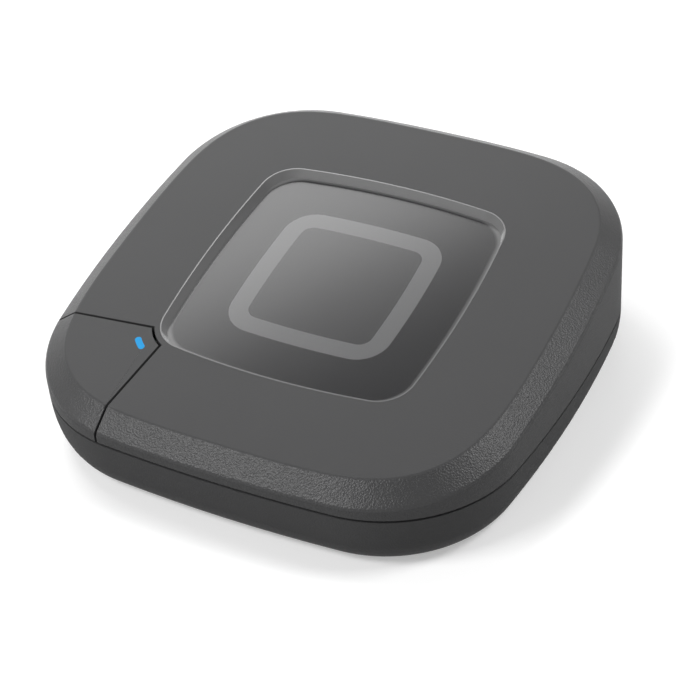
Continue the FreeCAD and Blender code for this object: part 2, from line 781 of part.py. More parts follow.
def make_system_button(outer, below):
    scale = cavity_scale("Sizes.button_wall", "Sizes.button_roof")
    inner = sloped_block("button_cavity", "Sizes.button_wall", "Sizes.button_roof", scale)
    region = corner_region("button_region", "-Sizes.button_gap / 2")
    cap = common("button_cap", cut("button_hollow", outer, inner), region)

    catch_drop = "Sizes.cover_top + Sizes.catch_gap"
    plate = slab_under_top("catch_plate", "Sizes.catch_inset", catch_drop, "Sizes.catch_thickness")
    edge = "Sizes.button_gap / 2"
    catch_region = corner_region("catch_region", f"{edge} + Sizes.catch_reach", f"-{edge}")
    catch = common("catch_trimmed", plate, catch_region)

    stem_foot = f"{BOARD_TOP} + Sizes.plunger_height + Sizes.stem_gap"
    legs = [post("button_stem", "Sizes.switch_x", "Sizes.switch_y", stem_foot, "Sizes.stem_radius", TALL)]
    for number, (x, y) in enumerate(guide_places(), start=1):
        pin = post(f"guide_pin_{number}", x, y, "Sizes.guide_pin_foot", "Sizes.guide_pin_radius", TALL)
        legs.append(pin)
    lid = slab_under_top("leg_limit", "Sizes.button_wall / 2", "Sizes.cover_top / 2", TALL)
    legs = common("button_legs", fuse("button_leg_rods", legs), lid)

    skirted = cut("button_skirted", cap, below)

    slot = new_body("light_slot")
    pad(slot, arc_slot(slot, "light_slot_outline"), TALL)
    solid = fuse("button_solid", [skirted, catch, legs])
    return cut("system_button", solid, slot)


def guide_places():
    near = "-Sizes.guide_near"
    far = "-Sizes.guide_far"
    return [(far, near), (near, far)]


def make_light_guide(outer):
    blade = new_body("light_blade")
    foot = f"{BOARD_TOP} + {CHIPS['status_led'][4]} + Sizes.button_travel + Sizes.light_gap"
    pad(blade, arc_slot(blade, "light_blade_outline", height=foot), TALL)
    trimmed = common("light_blade_trimmed", blade, outer)
    collar = post("light_collar_column", "Sizes.light_x", "Sizes.light_y", "0", "Sizes.light_collar_radius",
                  TALL, SHANK_SIDES)
    drop = "Sizes.cover_top + Sizes.catch_gap + Sizes.catch_thickness"
    plate = slab_under_top("light_collar_plate", "Sizes.catch_inset", drop, "Sizes.light_collar_height")
    return fuse("light_guide", [trimmed, common("light_collar_trimmed", collar, plate)])


# Window tray, its adhesive strips and the inlaid band


def make_window_panel(catch_room):
    tray = tilted_body("window_tray")
    tray_depth = "Sizes.window_recess + Sizes.window_floor"
    outline_plate(tray, "tray_outline", WINDOW, "Sizes.window_clearance", "0", tray_depth)
    flange_top = "-(Sizes.cover_top + Sizes.adhesive_thickness)"
    flange_depth = (
        "Sizes.window_recess + Sizes.window_floor - Sizes.cover_top - Sizes.adhesive_thickness"
    )
    outline_plate(tray, "tray_flange", WINDOW, "-Sizes.flange_reach", flange_top, flange_depth)
    mouth = new_sketch(tray, "tray_mouth", height="0")
    draw_bowed_square(mouth, WINDOW, "Sizes.window_clearance + Sizes.window_rim")
    floor = new_sketch(tray, "tray_floor", height="-Sizes.window_recess")
    draw_bowed_square(floor, WINDOW, "Sizes.window_clearance + Sizes.window_rim + Sizes.window_slope")
    hollow = tray.newObject("PartDesign::SubtractiveLoft", "tray_hollow")
    hollow.Profile = mouth
    hollow.Sections = [floor]
    hollow.Ruled = True
    doc.recompute()
    ring = tilted_body("light_ring")
    outline_plate(ring, "ring_outline", RING, "0", "-Sizes.window_recess", "Sizes.ring_depth")
    island = new_sketch(ring, "ring_island", height="-Sizes.window_recess")
    draw_bowed_square(island, RING, "Sizes.ring_band")
    pocket(ring, island)
    return cut("window_panel", tray, fuse("window_panel_cuts", [ring, catch_room])), ring


def make_window_adhesive():
    """Four strips of double-sided tape between the panel's flange and the cover."""
    reach = "Sizes.adhesive_length / 2"
    strips = []
    for name, sign in (("right", ""), ("left", "-")):
        near = f"{sign}(Sizes.window_half_x + Sizes.adhesive_margin)"
        far = f"{sign}(Sizes.window_half_x + Sizes.adhesive_margin + Sizes.adhesive_width)"
        strips.append(tape_strip(f"adhesive_{name}", near, f"-{reach}", far, reach))
    for name, sign in (("back", ""), ("front", "-")):
        near = f"{sign}(Sizes.window_half_y + Sizes.adhesive_margin)"
        far = f"{sign}(Sizes.window_half_y + Sizes.adhesive_margin + Sizes.adhesive_width)"
        strips.append(tape_strip(f"adhesive_{name}", f"-{reach}", near, reach, far))
    return group("window_adhesive", strips)


def tape_strip(name, left, front, right, back):
    strip = tilted_body(name)
    sketch = new_sketch(strip, name + "_outline", height="-Sizes.cover_top")
    draw_rectangle(sketch, left, front, right, back)
    pad(strip, sketch, "Sizes.adhesive_thickness", downwards=True)
    return strip


# Bottom shell, with its lip, screw bosses, board posts, guide sleeves, feet recesses and keyholes


def make_bottom_shell(cover_room):
    outer = new_body("shell_block")
    sections = []
    for step in range(ROUND_STEPS + 1):
        turn = 90 * step / ROUND_STEPS
        height = f"Sizes.foot_stand + Sizes.shell_round * (1 - cos({turn}))"
        section = new_sketch(outer, f"shell_section_{step}", height=height)
        draw_bowed_square(section, HOUSING, f"Sizes.shell_round * (1 - sin({turn}))")
        sections.append(section)
    rounding = outer.newObject("PartDesign::AdditiveLoft", "shell_round")
    rounding.Profile = sections[0]
    rounding.Sections = sections[1:]
    rounding.Ruled = True
    doc.recompute()
    wall = new_sketch(outer, "shell_wall", height="Sizes.foot_stand + Sizes.shell_round")
    draw_bowed_square(wall, HOUSING)
    pad(outer, wall, TALL)
    rise = "-Sizes.parting_tilt"
    slope_cut(outer, "shell_top", "Sizes.parting_height - Sizes.parting_gap", rise, above=True)

    lip = new_body("shell_lip")
    outline = new_sketch(lip, "shell_lip_outline", height=SHELL_FLOOR)
    draw_bowed_square(outline, HOUSING, "Sizes.cover_wall + Sizes.lip_clearance")
    pad(lip, outline, TALL)
    slope_cut(lip, "shell_lip_top", "Sizes.parting_height + Sizes.lip_rise", rise, above=True)

    cavity = new_body("shell_cavity")
    outline = new_sketch(cavity, "shell_cavity_outline", height=SHELL_FLOOR)
    draw_bowed_square(outline, HOUSING, "Sizes.shell_wall")
    pad(cavity, outline, TALL)
    walls = fuse("shell_walls", [outer, common("shell_lip_trimmed", lip, cover_room)])
    tray = cut("shell_tray", walls, cavity)

    start = "Sizes.foot_stand + Sizes.shell_floor / 2"
    columns = []
    holes = []
    for place, (x, y) in BOARD_POSTS.items():
        columns.append(post(f"board_post_{place}", str(x), str(y), start, "Sizes.board_post_radius",
                            f"Sizes.board_base - ({start})", SHANK_SIDES))
        depth = "Sizes.board_screw_length - Sizes.board_thickness + Sizes.board_pilot_spare"
        holes.append(post(f"board_pilot_{place}", str(x), str(y), f"Sizes.board_base - ({depth})",
                          "Sizes.board_screw_radius", TALL, SHANK_SIDES))
    for number, (x, y) in enumerate(guide_places(), start=1):
        columns.append(post(f"guide_sleeve_{number}", x, y, start, "Sizes.guide_sleeve_radius",
                            f"Sizes.guide_sleeve_top - ({start})"))
        holes.append(post(f"guide_bore_{number}", x, y, "Sizes.guide_bore_foot",
                          "Sizes.guide_pin_radius + Sizes.guide_clearance", TALL))
    for side, sign in (("right", 1), ("left", -1)):
        for end in ("back", "front"):
            x = f"{sign} * Sizes.case_screw_x"
            y = f"Sizes.case_screw_{end}"
            columns.append(post(f"case_boss_{side}_{end}", x, y, start, "Sizes.case_boss_radius",
                                f"Sizes.case_boss_top - ({start})"))
            holes.append(post(f"case_hole_{side}_{end}", x, y, "0", "Sizes.case_hole_radius", TALL,
                              SHANK_SIDES))
            holes.append(post(f"case_post_room_{side}_{end}", x, y,
                              "Sizes.case_boss_top + Sizes.case_post_gap / 2",
                              "Sizes.case_post_radius + Sizes.case_post_gap", TALL))
            holes.append(post(f"case_recess_{side}_{end}", x, y, "0", "Sizes.case_recess_radius",
                              "Sizes.foot_stand + Sizes.case_head_recess", HEAD_SIDES))
            holes.append(post(f"foot_seat_{side}_{end}", f"{sign} * Sizes.foot_x",
                              f"{1 if end == 'back' else -1} * Sizes.foot_y", "0", "Sizes.foot_radius",
                              "Sizes.foot_stand + Sizes.foot_recess", FOOT_SIDES))
        holes.extend(keyhole(side, sign))
    socket_notch = block(
        "lip_socket_notch", "(Sizes.network_x + Sizes.power_x) / 2", "Sizes.depth / 2",
        f"{BOARD_TOP} - Sizes.socket_clearance",
        "Sizes.power_x - Sizes.network_x + Sizes.network_width + 2 * Sizes.socket_clearance",
        "4 * Sizes.shell_wall", TALL,
    )
    holes.append(socket_notch)
    body = fuse("shell_with_posts", [tray] + columns)
    return cut("bottom_shell", body, fuse("shell_holes", holes))


def keyhole(side, sign):
    """Round entry and narrow slot through the floor, for a screw head in a wall."""
    x = f"{sign} * Sizes.keyhole_x"
    radius = "Sizes.keyhole_entry_radius"
    entry = rod(f"keyhole_entry_{side}", x, "Sizes.keyhole_y", "0", radius, SHELL_FLOOR)
    end = rod(f"keyhole_end_{side}", x, "Sizes.keyhole_y + Sizes.keyhole_slot_reach", "0",
              "Sizes.keyhole_slot_radius", SHELL_FLOOR)
    slot = block(f"keyhole_slot_{side}", x, "Sizes.keyhole_y + Sizes.keyhole_slot_reach / 2", "0",
                 "2 * Sizes.keyhole_slot_radius", "Sizes.keyhole_slot_reach", SHELL_FLOOR)
    return [entry, end, slot]


def make_rubber_feet():
    return group("rubber_feet", [
        post(f"foot_{side}_{end}", f"{x} * Sizes.foot_x", f"{y} * Sizes.foot_y", "0",
             "Sizes.foot_radius", "Sizes.foot_stand + Sizes.foot_recess", FOOT_SIDES)
        for side, x in (("right", 1), ("left", -1))
        for end, y in (("back", 1), ("front", -1))
    ])


def make_case_screws():
    screws = []
    head_top = "Sizes.foot_stand + Sizes.case_head_recess"
    for side, sign in (("right", 1), ("left", -1)):
        for end in ("back", "front"):
            x = f"{sign} * Sizes.case_screw_x"
            y = f"Sizes.case_screw_{end}"
            head = post(f"case_screw_head_{side}_{end}", x, y, f"{head_top} - Sizes.case_head_height",
                        "Sizes.case_head_radius", "Sizes.case_head_height", HEAD_SIDES)
            shank = post(f"case_screw_shank_{side}_{end}", x, y, f"{head_top} - Sizes.case_head_height / 2",
                         "Sizes.case_screw_radius", "Sizes.case_screw_length + Sizes.case_head_height / 2",
                         SHANK_SIDES)
            screws.append(fuse(f"case_screw_{side}_{end}", [head, shank]))
    return group("case_screws", screws)


# Main board and what is soldered to it


def make_main_board():
    board = new_body("board_plate")
    sketch = new_sketch(board, "board_outline", height="Sizes.board_base")
    side = "Sizes.board_half_x"
    draw_rectangle(sketch, f"-{side}", "Sizes.board_front", side, "Sizes.board_back")
    plate = pad(board, sketch, "Sizes.board_thickness")
    for end, name in ((value("Sizes.board_front"), "front"), (value("Sizes.board_back"), "back")):
        corners = [
            f"Edge{index}"
            for index, edge in enumerate(plate.Shape.Edges, start=1)
            if all(abs(vertex.Y - end) < 1e-6 for vertex in edge.Vertexes)
            and abs(edge.Vertexes[0].X - edge.Vertexes[-1].X) < 1e-6
            and abs(edge.Vertexes[0].Z - edge.Vertexes[-1].Z) > 1
        ]
        rounding = board.newObject("PartDesign::Fillet", f"board_{name}_corners")
        rounding.Base = (plate, corners)
        rounding.setExpression("Radius", f"Sizes.board_{name}_corner")
        doc.recompute()
        plate = rounding
    holes = [
        post(f"board_hole_{place}", str(x), str(y), "0", "Sizes.board_hole_radius", TALL)
        for place, (x, y) in BOARD_POSTS.items()
    ]
    return cut("main_board", board, fuse("board_holes", holes))


def make_board_screws():
    screws = []
    for place, (x, y) in BOARD_POSTS.items():
        head = post(f"board_screw_head_{place}", str(x), str(y), BOARD_TOP, "Sizes.board_head_radius",
                    "Sizes.board_head_height", SHANK_SIDES)
        tip = f"{BOARD_TOP} - Sizes.board_screw_length"
        shank = post(f"board_screw_shank_{place}", str(x), str(y), tip, "Sizes.board_screw_radius",
                     "Sizes.board_screw_length + Sizes.board_head_height / 2", SHANK_SIDES)
        screws.append(fuse(f"board_screw_{place}", [head, shank]))
    return group("board_screws", screws)


def make_chips():
    return [
        block(name, str(x), str(y), BOARD_TOP, str(width), str(depth), str(height))
        for name, (x, y, width, depth, height) in CHIPS.items()
    ]


def make_ceramic_parts():
    width, depth, height = (str(CERAMIC_SIZE[side]) for side in ("width", "depth", "height"))
    return group("ceramic_parts", [
        block(f"ceramic_part_{place}", str(x), str(y), BOARD_TOP, width, depth, height)
        for place, (x, y) in CERAMIC_PARTS.items()
    ])


def make_capacitors():
    return group("capacitors", [
        post(f"capacitor_{place}", str(x), str(y), BOARD_TOP, str(radius), str(height))
        for place, (x, y, radius, height) in CAPACITORS.items()
    ])


def make_radio():
    x = str(RADIO["x"])
    y = str(RADIO["y"])
    width = RADIO["width"]
    depth = RADIO["depth"]
    margin = 2 * RADIO["can_margin"]
    module = block("radio_module", x, y, BOARD_TOP, str(width), str(depth), str(RADIO["board"]))
    can = block("radio_shield", x, y, f"{BOARD_TOP} + {RADIO['board']}", str(width - margin),
                str(depth - margin), str(RADIO["can"]))
    return [module, can]


def make_aerial():
    """A bent strip on edge: a long arm held up by a leg at each end of its feed."""
    x = str(AERIAL["x"])
    metal = str(AERIAL["sheet"])
    strip = AERIAL["strip"]
    front = AERIAL["front"]
    length = AERIAL["length"]
    arm_foot = AERIAL["rise"] - strip
    leg = str(arm_foot + strip / 2)
    arm = block("aerial_arm", x, str(front + length / 2), f"{BOARD_TOP} + {arm_foot}",
                metal, str(length), str(strip))
    feed = block("aerial_feed", x, str(front + strip / 2), BOARD_TOP, metal, str(strip), leg)
    ground = block("aerial_ground", x, str(front + 3 * strip), BOARD_TOP, metal, str(strip), leg)
    return fuse("aerial", [arm, feed, ground])


# Network socket: a shielded eight-contact jack, flush in the rear wall


def make_network_socket():
    x = "Sizes.network_x"
    middle = f"{NETWORK_FRONT} - Sizes.network_length / 2"
    can = block("network_can", x, middle, BOARD_TOP, "Sizes.network_width", "Sizes.network_length",
                "Sizes.network_height")
    room = block(
        "network_can_room", x, f"{middle} + Sizes.network_shield", f"{BOARD_TOP} + Sizes.network_shield",
        "Sizes.network_width - 2 * Sizes.network_shield", "Sizes.network_length",
        "Sizes.network_height - 2 * Sizes.network_shield",
    )
    shield = cut("network_socket_shield", can, room)
    insert = block(
        "network_insert", x, f"{middle} + Sizes.network_shield / 2", f"{BOARD_TOP} + Sizes.network_shield",
        "Sizes.network_width - 2 * Sizes.network_shield", "Sizes.network_length - Sizes.network_shield",
        "Sizes.network_height - 2 * Sizes.network_shield",
    )
    base = f"{BOARD_TOP} + Sizes.network_mouth_base"
    latch_base = f"{base} - Sizes.network_latch_height"
    tongue_base = f"{latch_base} - Sizes.network_tongue_height"
    depth = "2 * Sizes.network_mouth_depth"
    mouth = block("network_mouth", x, NETWORK_FRONT, base, "Sizes.network_mouth_width", depth,
                  "Sizes.network_mouth_height")
    latch = block("network_latch_room", x, NETWORK_FRONT, latch_base, "Sizes.network_latch_width", depth,
                  "Sizes.network_latch_height")
    tongue = block("network_tongue_room", x, NETWORK_FRONT, tongue_base,
                   "Sizes.network_tongue_width", depth, "Sizes.network_tongue_height")
    housing = cut("network_socket", insert, fuse("network_mouth_room", [mouth, latch, tongue]))
    return [shield, housing, make_network_contacts(f"{base} + Sizes.network_mouth_height")]


def make_network_contacts(ceiling):
    """Eight gold springs that hang from the ceiling of the mouth and slope down towards the back."""
    contacts = []
    count = round(value("Sizes.network_contacts"))
    for number in range(count):
        contact = doc.addObject("Part::Box", f"network_contact_{number + 1}")
        contact.setExpression("Length", "Sizes.network_contact_width")
        contact.setExpression("Width", "Sizes.network_contact_length")
        contact.setExpression("Height", "Sizes.network_contact_thickness")
        contact.Placement = FreeCAD.Placement(
            FreeCAD.Vector(0, 0, 0),
            FreeCAD.Rotation(FreeCAD.Vector(1, 0, 0), value("Sizes.network_contact_angle")),
        )
        contact.setExpression("Placement.Rotation.Angle", "Sizes.network_contact_angle")
        offset = f"({number} - (Sizes.network_contacts - 1) / 2) * Sizes.network_pitch"
        contact.setExpression(
            "Placement.Base.x", f"Sizes.network_x + {offset} - Sizes.network_contact_width / 2"
        )
        contact.setExpression(
            "Placement.Base.y",
            f"{NETWORK_FRONT} - Sizes.network_contact_setback"
            " - Sizes.network_contact_length * cos(Sizes.network_contact_angle)",
        )
        contact.setExpression(
            "Placement.Base.z",
            f"{ceiling} - Sizes.network_contact_length * sin(Sizes.network_contact_angle)"
            " - Sizes.network_contact_thickness * cos(Sizes.network_contact_angle)",
        )
        contacts.append(contact)
    return group("network_contacts", contacts)


# Power socket: a round low-voltage jack behind a hole in the rear wall


def make_power_socket():
    x = "Sizes.power_x"
    axis = f"{BOARD_TOP} + Sizes.power_axis"
    front = "(Sizes.depth / 2 - Sizes.power_setback)"
    body = block("power_block", x, f"{front} - Sizes.power_length / 2", BOARD_TOP, "Sizes.power_width",
                 "Sizes.power_length", "Sizes.power_height")
    bore = level_rod("power_bore", x, f"{front} - Sizes.power_bore_depth", axis, "Sizes.power_bore_radius",
                     "2 * Sizes.power_bore_depth")
    seat = level_post("power_pin_hole", x, f"{front} - Sizes.power_bore_depth - Sizes.power_pin_seat",
                      axis, "Sizes.power_pin_radius", "Sizes.power_bore_depth")
    leaf_base = f"{axis} - Sizes.power_bore_radius - Sizes.power_leaf_thickness"
    leaf_middle = f"{front} - Sizes.power_leaf_length / 2 - Sizes.power_leaf_setback"
    leaf_room = block("power_leaf_room", x, leaf_middle, leaf_base, "Sizes.power_leaf_width",
                      "Sizes.power_leaf_length", "2 * Sizes.power_leaf_thickness")
    socket = cut("power_socket", body, fuse("power_rooms", [bore, seat, leaf_room]))
    pin = level_post("power_pin", x, f"{front} - Sizes.power_bore_depth - Sizes.power_pin_seat", axis,
                     "Sizes.power_pin_radius",
                     "Sizes.power_bore_depth + Sizes.power_pin_seat - Sizes.power_pin_recess")
    leaf = block("power_contact", x, leaf_middle, leaf_base, "Sizes.power_leaf_width",
                 "Sizes.power_leaf_length", "Sizes.power_leaf_thickness")
    return [socket, pin, leaf]


# Push switch under the button


def make_push_switch():
    x = "Sizes.switch_x"
    y = "Sizes.switch_y"
    body = block("switch_block", x, y, BOARD_TOP, "Sizes.switch_width", "Sizes.switch_width",
                 "Sizes.switch_body_height")
    bore = post("switch_bore", x, y, f"{BOARD_TOP} + Sizes.switch_base", "Sizes.switch_bore_radius",
                "2 * Sizes.switch_body_height")
    housing = cut("switch_housing", body, bore)
    plate = block("switch_plate_blank", x, y, f"{BOARD_TOP} + Sizes.switch_body_height",
                  "Sizes.switch_width", "Sizes.switch_width", "Sizes.switch_plate")
    plate_hole = post("switch_plate_bore", x, y, BOARD_TOP, "Sizes.switch_plate_hole",
                      "2 * Sizes.switch_body_height")
    frame = cut("switch_frame", plate, plate_hole)
    foot_base = f"{BOARD_TOP} + Sizes.switch_base + Sizes.dome_height + Sizes.plunger_gap"
    foot = post("plunger_foot", x, y, foot_base, "Sizes.plunger_foot_radius",
                f"{BOARD_TOP} + Sizes.switch_body_height - Sizes.plunger_gap - ({foot_base})")
    stem = post("plunger_stem", x, y, foot_base, "Sizes.plunger_radius",
                f"{BOARD_TOP} + Sizes.plunger_height - ({foot_base})")
    return [housing, frame, fuse("switch_plunger", [foot, stem]), make_switch_dome()]


def make_switch_dome():
    """Thin snap dome: a shallow hollow cap with flat flanks that stands on the floor of the bore."""
    x = "Sizes.switch_x"
    y = "Sizes.switch_y"
    floor = f"({BOARD_TOP} + Sizes.switch_base)"
    cap = dome_form("dome_outside", x, y, floor, "Sizes.dome_radius", "Sizes.dome_height")
    inner_radius = "Sizes.dome_radius - 2 * Sizes.dome_thickness"
    room = dome_form("dome_inside", x, y, floor, inner_radius, "Sizes.dome_height - Sizes.dome_thickness")
    return cut("switch_dome", cap, room)


def dome_form(name, x, y, bottom, radius, height):
    """A low cap with twelve sides whose upper flanks lean in by as much as they rise."""
    body = new_body(name)
    sketch = new_sketch(body, name + "_outline", height=bottom)
    draw_regular_polygon(sketch, x, y, radius)
    cap = pad(body, sketch, height)
    top = value(f"{bottom} + {height}")
    rim = [
        f"Edge{index}"
        for index, edge in enumerate(cap.Shape.Edges, start=1)
        if all(abs(vertex.Z - top) < 1e-6 for vertex in edge.Vertexes)
    ]
    flanks = body.newObject("PartDesign::Chamfer", name + "_flanks")
    flanks.Base = (cap, rim)
    flanks.setExpression("Size", f"({height}) * {DOME_LEAN}")
    doc.recompute()
    return body


# The whole unit


outer_form = sloped_block("housing_form", "0", "0", "1")
cover_scale = cavity_scale("Sizes.cover_wall", "Sizes.cover_top")
cover_cavity = sloped_block("cover_cavity", "Sizes.cover_wall", "Sizes.cover_top", cover_scale)
under_cover = below_parting()
room_reach = "Sizes.button_gap / 2 + Sizes.catch_reach + Sizes.catch_clearance"
catch_room = corner_region("catch_room", room_reach, "Sizes.button_gap / 2")
pieces = [
    make_top_cover(outer_form, cover_cavity, under_cover, catch_room),
    make_bottom_shell(cover_cavity),
    make_system_button(outer_form, under_cover),
    make_light_guide(outer_form),
    *make_window_panel(catch_room),
    make_window_adhesive(),
    make_main_board(),
    make_board_screws(),
    make_case_screws(),
    make_rubber_feet(),
    make_ceramic_parts(),
    make_capacitors(),
    make_aerial(),
]
pieces += make_chips() + make_radio() + make_network_socket() + make_power_socket() + make_push_switch()
doc.recompute()

for item in doc.Objects:
    if "Invalid" in item.State or "Error" in item.State:
        raise RuntimeError(f"{item.Name} failed: {item.State}")

os.makedirs("parts", exist_ok=True)
for piece in pieces:
    shape = piece.Shape
    if shape.isNull() or not shape.isValid() or not shape.Solids:
        raise RuntimeError(f"{piece.Label} has no valid solid")
    shape.exportStep(f"parts/{piece.Label}.step")
    print(f"{piece.Label}: {len(shape.Solids)} solids, {shape.Volume:.1f} mm3")
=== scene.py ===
"""Smart home access point: finishes, status light, floor, studio light and camera."""

import math

import bmesh
import bpy
from mathutils import Matrix, Vector
from mathutils.bvhtree import BVHTree


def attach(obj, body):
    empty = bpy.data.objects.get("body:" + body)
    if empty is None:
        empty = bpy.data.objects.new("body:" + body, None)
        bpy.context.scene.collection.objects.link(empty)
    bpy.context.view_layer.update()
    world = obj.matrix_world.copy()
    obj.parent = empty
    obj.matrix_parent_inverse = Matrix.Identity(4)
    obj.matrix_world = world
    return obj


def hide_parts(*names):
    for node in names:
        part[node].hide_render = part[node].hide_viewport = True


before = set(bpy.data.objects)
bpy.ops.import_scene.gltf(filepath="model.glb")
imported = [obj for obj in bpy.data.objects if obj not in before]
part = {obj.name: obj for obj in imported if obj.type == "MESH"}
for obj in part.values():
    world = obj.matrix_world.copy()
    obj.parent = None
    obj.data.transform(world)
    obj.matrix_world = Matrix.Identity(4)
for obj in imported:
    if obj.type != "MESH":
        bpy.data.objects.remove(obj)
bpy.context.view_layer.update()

MM_PER_M = 1000

# The plane of the top face: its height in millimetres at the middle, and its slope
TOP_HEIGHT = 26.6
TOP_TILT = math.radians(7.9)
TOP_NORMAL = Vector((0, -math.sin(TOP_TILT), math.cos(TOP_TILT)))


# Shader maths: a socket that takes part in expressions


class Signal:
    """One output socket of a material, used in expressions as if it were a number."""

    def __init__(self, sheet, socket):
        self.sheet = sheet
        self.socket = socket

    def _math(self, operation, *values):
        numbered = dict(enumerate((self, *values)))
        return self.sheet.node("Math", {"operation": operation}, numbered).out("Value")

    def __add__(self, other):
        return self._math("ADD", other)

    def __sub__(self, other):
        return self._math("SUBTRACT", other)

    def __mul__(self, other):
        return self._math("MULTIPLY", other)

    def __pow__(self, other):
        return self._math("POWER", other)

    def least(self, other):
        return self._math("MINIMUM", other)

    def most(self, other):
        return self._math("MAXIMUM", other)

    def size(self):
        return self._math("ABSOLUTE")

    def root(self):
        return self._math("SQRT")

    def ramp(self, low, high, start=0.0, end=1.0):
        """This signal carried from low..high to start..end, smoothly and without overshoot."""
        settings = {"interpolation_type": "SMOOTHSTEP", "clamp": True}
        values = {0: self, 1: low, 2: high, 3: start, 4: end}
        return self.sheet.node("MapRange", settings, values).out(0)


class Placed:
    """A node already in the sheet, whose outputs are taken by name or number."""

    def __init__(self, sheet, node):
        self.sheet = sheet
        self.raw = node

    def out(self, which=0):
        return Signal(self.sheet, self.raw.outputs[which])


class Sheet:
    """A tree of shader nodes, empty at first."""

    def __init__(self, owner):
        owner.use_nodes = True
        self.tree = owner.node_tree
        self.tree.nodes.clear()

    def node(self, kind, settings=None, values=None):
        made = self.tree.nodes.new("ShaderNode" + kind)
        for key, setting in (settings or {}).items():
            setattr(made, key, setting)
        for key, value in (values or {}).items():
            self.feed(made.inputs[key], value)
        return Placed(self, made)

    def feed(self, socket, value):
        if isinstance(value, Signal):
            self.tree.links.new(value.socket, socket)
        elif isinstance(value, (tuple, list)) and len(value) == 3 and socket.type == "RGBA":
            socket.default_value = (*value, 1.0)
        else:
            socket.default_value = value

    def split(self, vector):
        return self.node("SeparateXYZ", values={0: vector})

    def seen_directly(self):
        """One for rays from the camera, and for those by way of gloss or glass, otherwise zero."""
        path = self.node("LightPath")
        kinds = path.out("Is Camera Ray") + path.out("Is Glossy Ray") + path.out("Is Transmission Ray")
        return kinds.least(1.0)

    def mix_shaders(self, share, first, second):
        return self.node("MixShader", values={0: share, 1: first.out(), 2: second.out()})


class Finish(Sheet):
    """One material, built from a Principled surface and whatever feeds it."""

    def __init__(self, name):
        self.material = bpy.data.materials.new(name)
        super().__init__(self.material)
        self.surface = self.tree.nodes.new("ShaderNodeBsdfPrincipled")
        self.output = self.tree.nodes.new("ShaderNodeOutputMaterial")
        self.tree.links.new(self.surface.outputs[0], self.output.inputs["Surface"])

    def place(self):
        return self.node("TexCoord").out("Object")

    def noise(self, scale, detail=2.0, roughness=0.5):
        values = {"Vector": self.place(), "Scale": scale, "Detail": detail, "Roughness": roughness}
        return self.node("TexNoise", values=values).out(0)

    def cells(self, scale):
        values = {"Vector": self.place(), "Scale": scale}
        return self.node("TexVoronoi", {"feature": "F1"}, values).out("Distance")

    def tint(self, share, first, second):
        """A colour between two colours."""
        made = self.node("Mix", {"data_type": "RGBA"}, {"Factor": share})
        for socket, colour in ((made.raw.inputs[6], first), (made.raw.inputs[7], second)):
            self.feed(socket, colour)
        return made.out(2)

    def relief(self, height, depth):
        """Small bumps, with the height's unit worth this depth in metres."""
        return self.node("Bump", values={"Height": height, "Distance": depth, "Strength": 1.0}).out(0)

    def set(self, **values):
        """Feeds the Principled surface's inputs, named in small letters with underscores."""
        for key, value in values.items():
            label = key.replace("_", " ").title().replace("Ior", "IOR")
            self.feed(self.surface.inputs[label], value)


def shaded(colour, factor):
    return tuple(min(1.0, channel * factor) for channel in colour)


# Slow clouds, in colour and gloss: the detail and roughness of their noise, and their middle range
CLOUD = (3, 0.55)
CLOUD_FADE = (0.3, 0.7)

# The grain of moulded plastic: scales per metre, and each pattern's share in the height
CELL_SCALE, CELL_SHARE = 2400, 0.55
FUZZ_SCALE, FUZZ_DETAIL, FUZZ_ROUGHNESS, FUZZ_SHARE = 4200, 3, 0.62, 0.45
WARP_SCALE, WARP_SHARE = 420, 0.35
LEATHER_MEAN, HEIGHT_MEAN = 0.3, 0.6

# Where the grain and the gloss change: cosines of the angle to the top face's normal, and to the vertical
GRAIN_FADE, FLAT_FADE = (0.9, 0.99), (0.86, 0.99)
UPRIGHT_FADE = (0.2, 0.6)

# What the grain and the clouds do to gloss and colour
GRAIN_ROUGHNESS, FLAT_ROUGHNESS = 0.10, 0.15
MOULD_CLOUD_SCALE, CLOUD_SHADE, GRAIN_SHADE = 38, 0.4, 1.5
DARKER, LIGHTER = 0.97, 1.06


def moulded(name, colour, roughness, upright_roughness, specular, grain_depth, flat_share):
    """Moulded plastic with a fine leather-like grain, shallower on the flat top and dull on upright walls."""
    finish = Finish(name)
    warp = finish.noise(WARP_SCALE)
    fuzz = finish.noise(FUZZ_SCALE, FUZZ_DETAIL, FUZZ_ROUGHNESS)
    leather = finish.cells(CELL_SCALE) * CELL_SHARE + fuzz * FUZZ_SHARE
    facing = finish.split(finish.node("TexCoord").out("Normal"))
    lean = facing.out("Z") * math.cos(TOP_TILT) - facing.out("Y") * math.sin(TOP_TILT)
    grain_share = lean.ramp(*GRAIN_FADE, 1.0, flat_share)
    upright = facing.out("Z").size().ramp(*UPRIGHT_FADE, 1.0, 0.0)
    flat = lean.ramp(*FLAT_FADE)
    height = (leather + warp * WARP_SHARE - HEIGHT_MEAN) * grain_share
    cloud = finish.noise(MOULD_CLOUD_SCALE, *CLOUD).ramp(*CLOUD_FADE)
    shade = cloud * CLOUD_SHADE + (leather - LEATHER_MEAN) * grain_share * GRAIN_SHADE
    dullness = leather * grain_share * GRAIN_ROUGHNESS + upright * upright_roughness + flat * FLAT_ROUGHNESS
    finish.set(
        base_color=finish.tint(shade, shaded(colour, DARKER), shaded(colour, LIGHTER)),
        roughness=dullness + (roughness - GRAIN_ROUGHNESS / 2),
        normal=finish.relief(height, grain_depth),
        specular_ior_level=specular,
    )
    return finish


# The window's opening and the inner edge of the ring in millimetres: half sizes, bows and corner
OPENING = ((30.75, 31.05), (2.05, 2.5), 8.0)
RING_INSIDE = ((17.2, 17.2), (0.8, 0.8), 5.0)

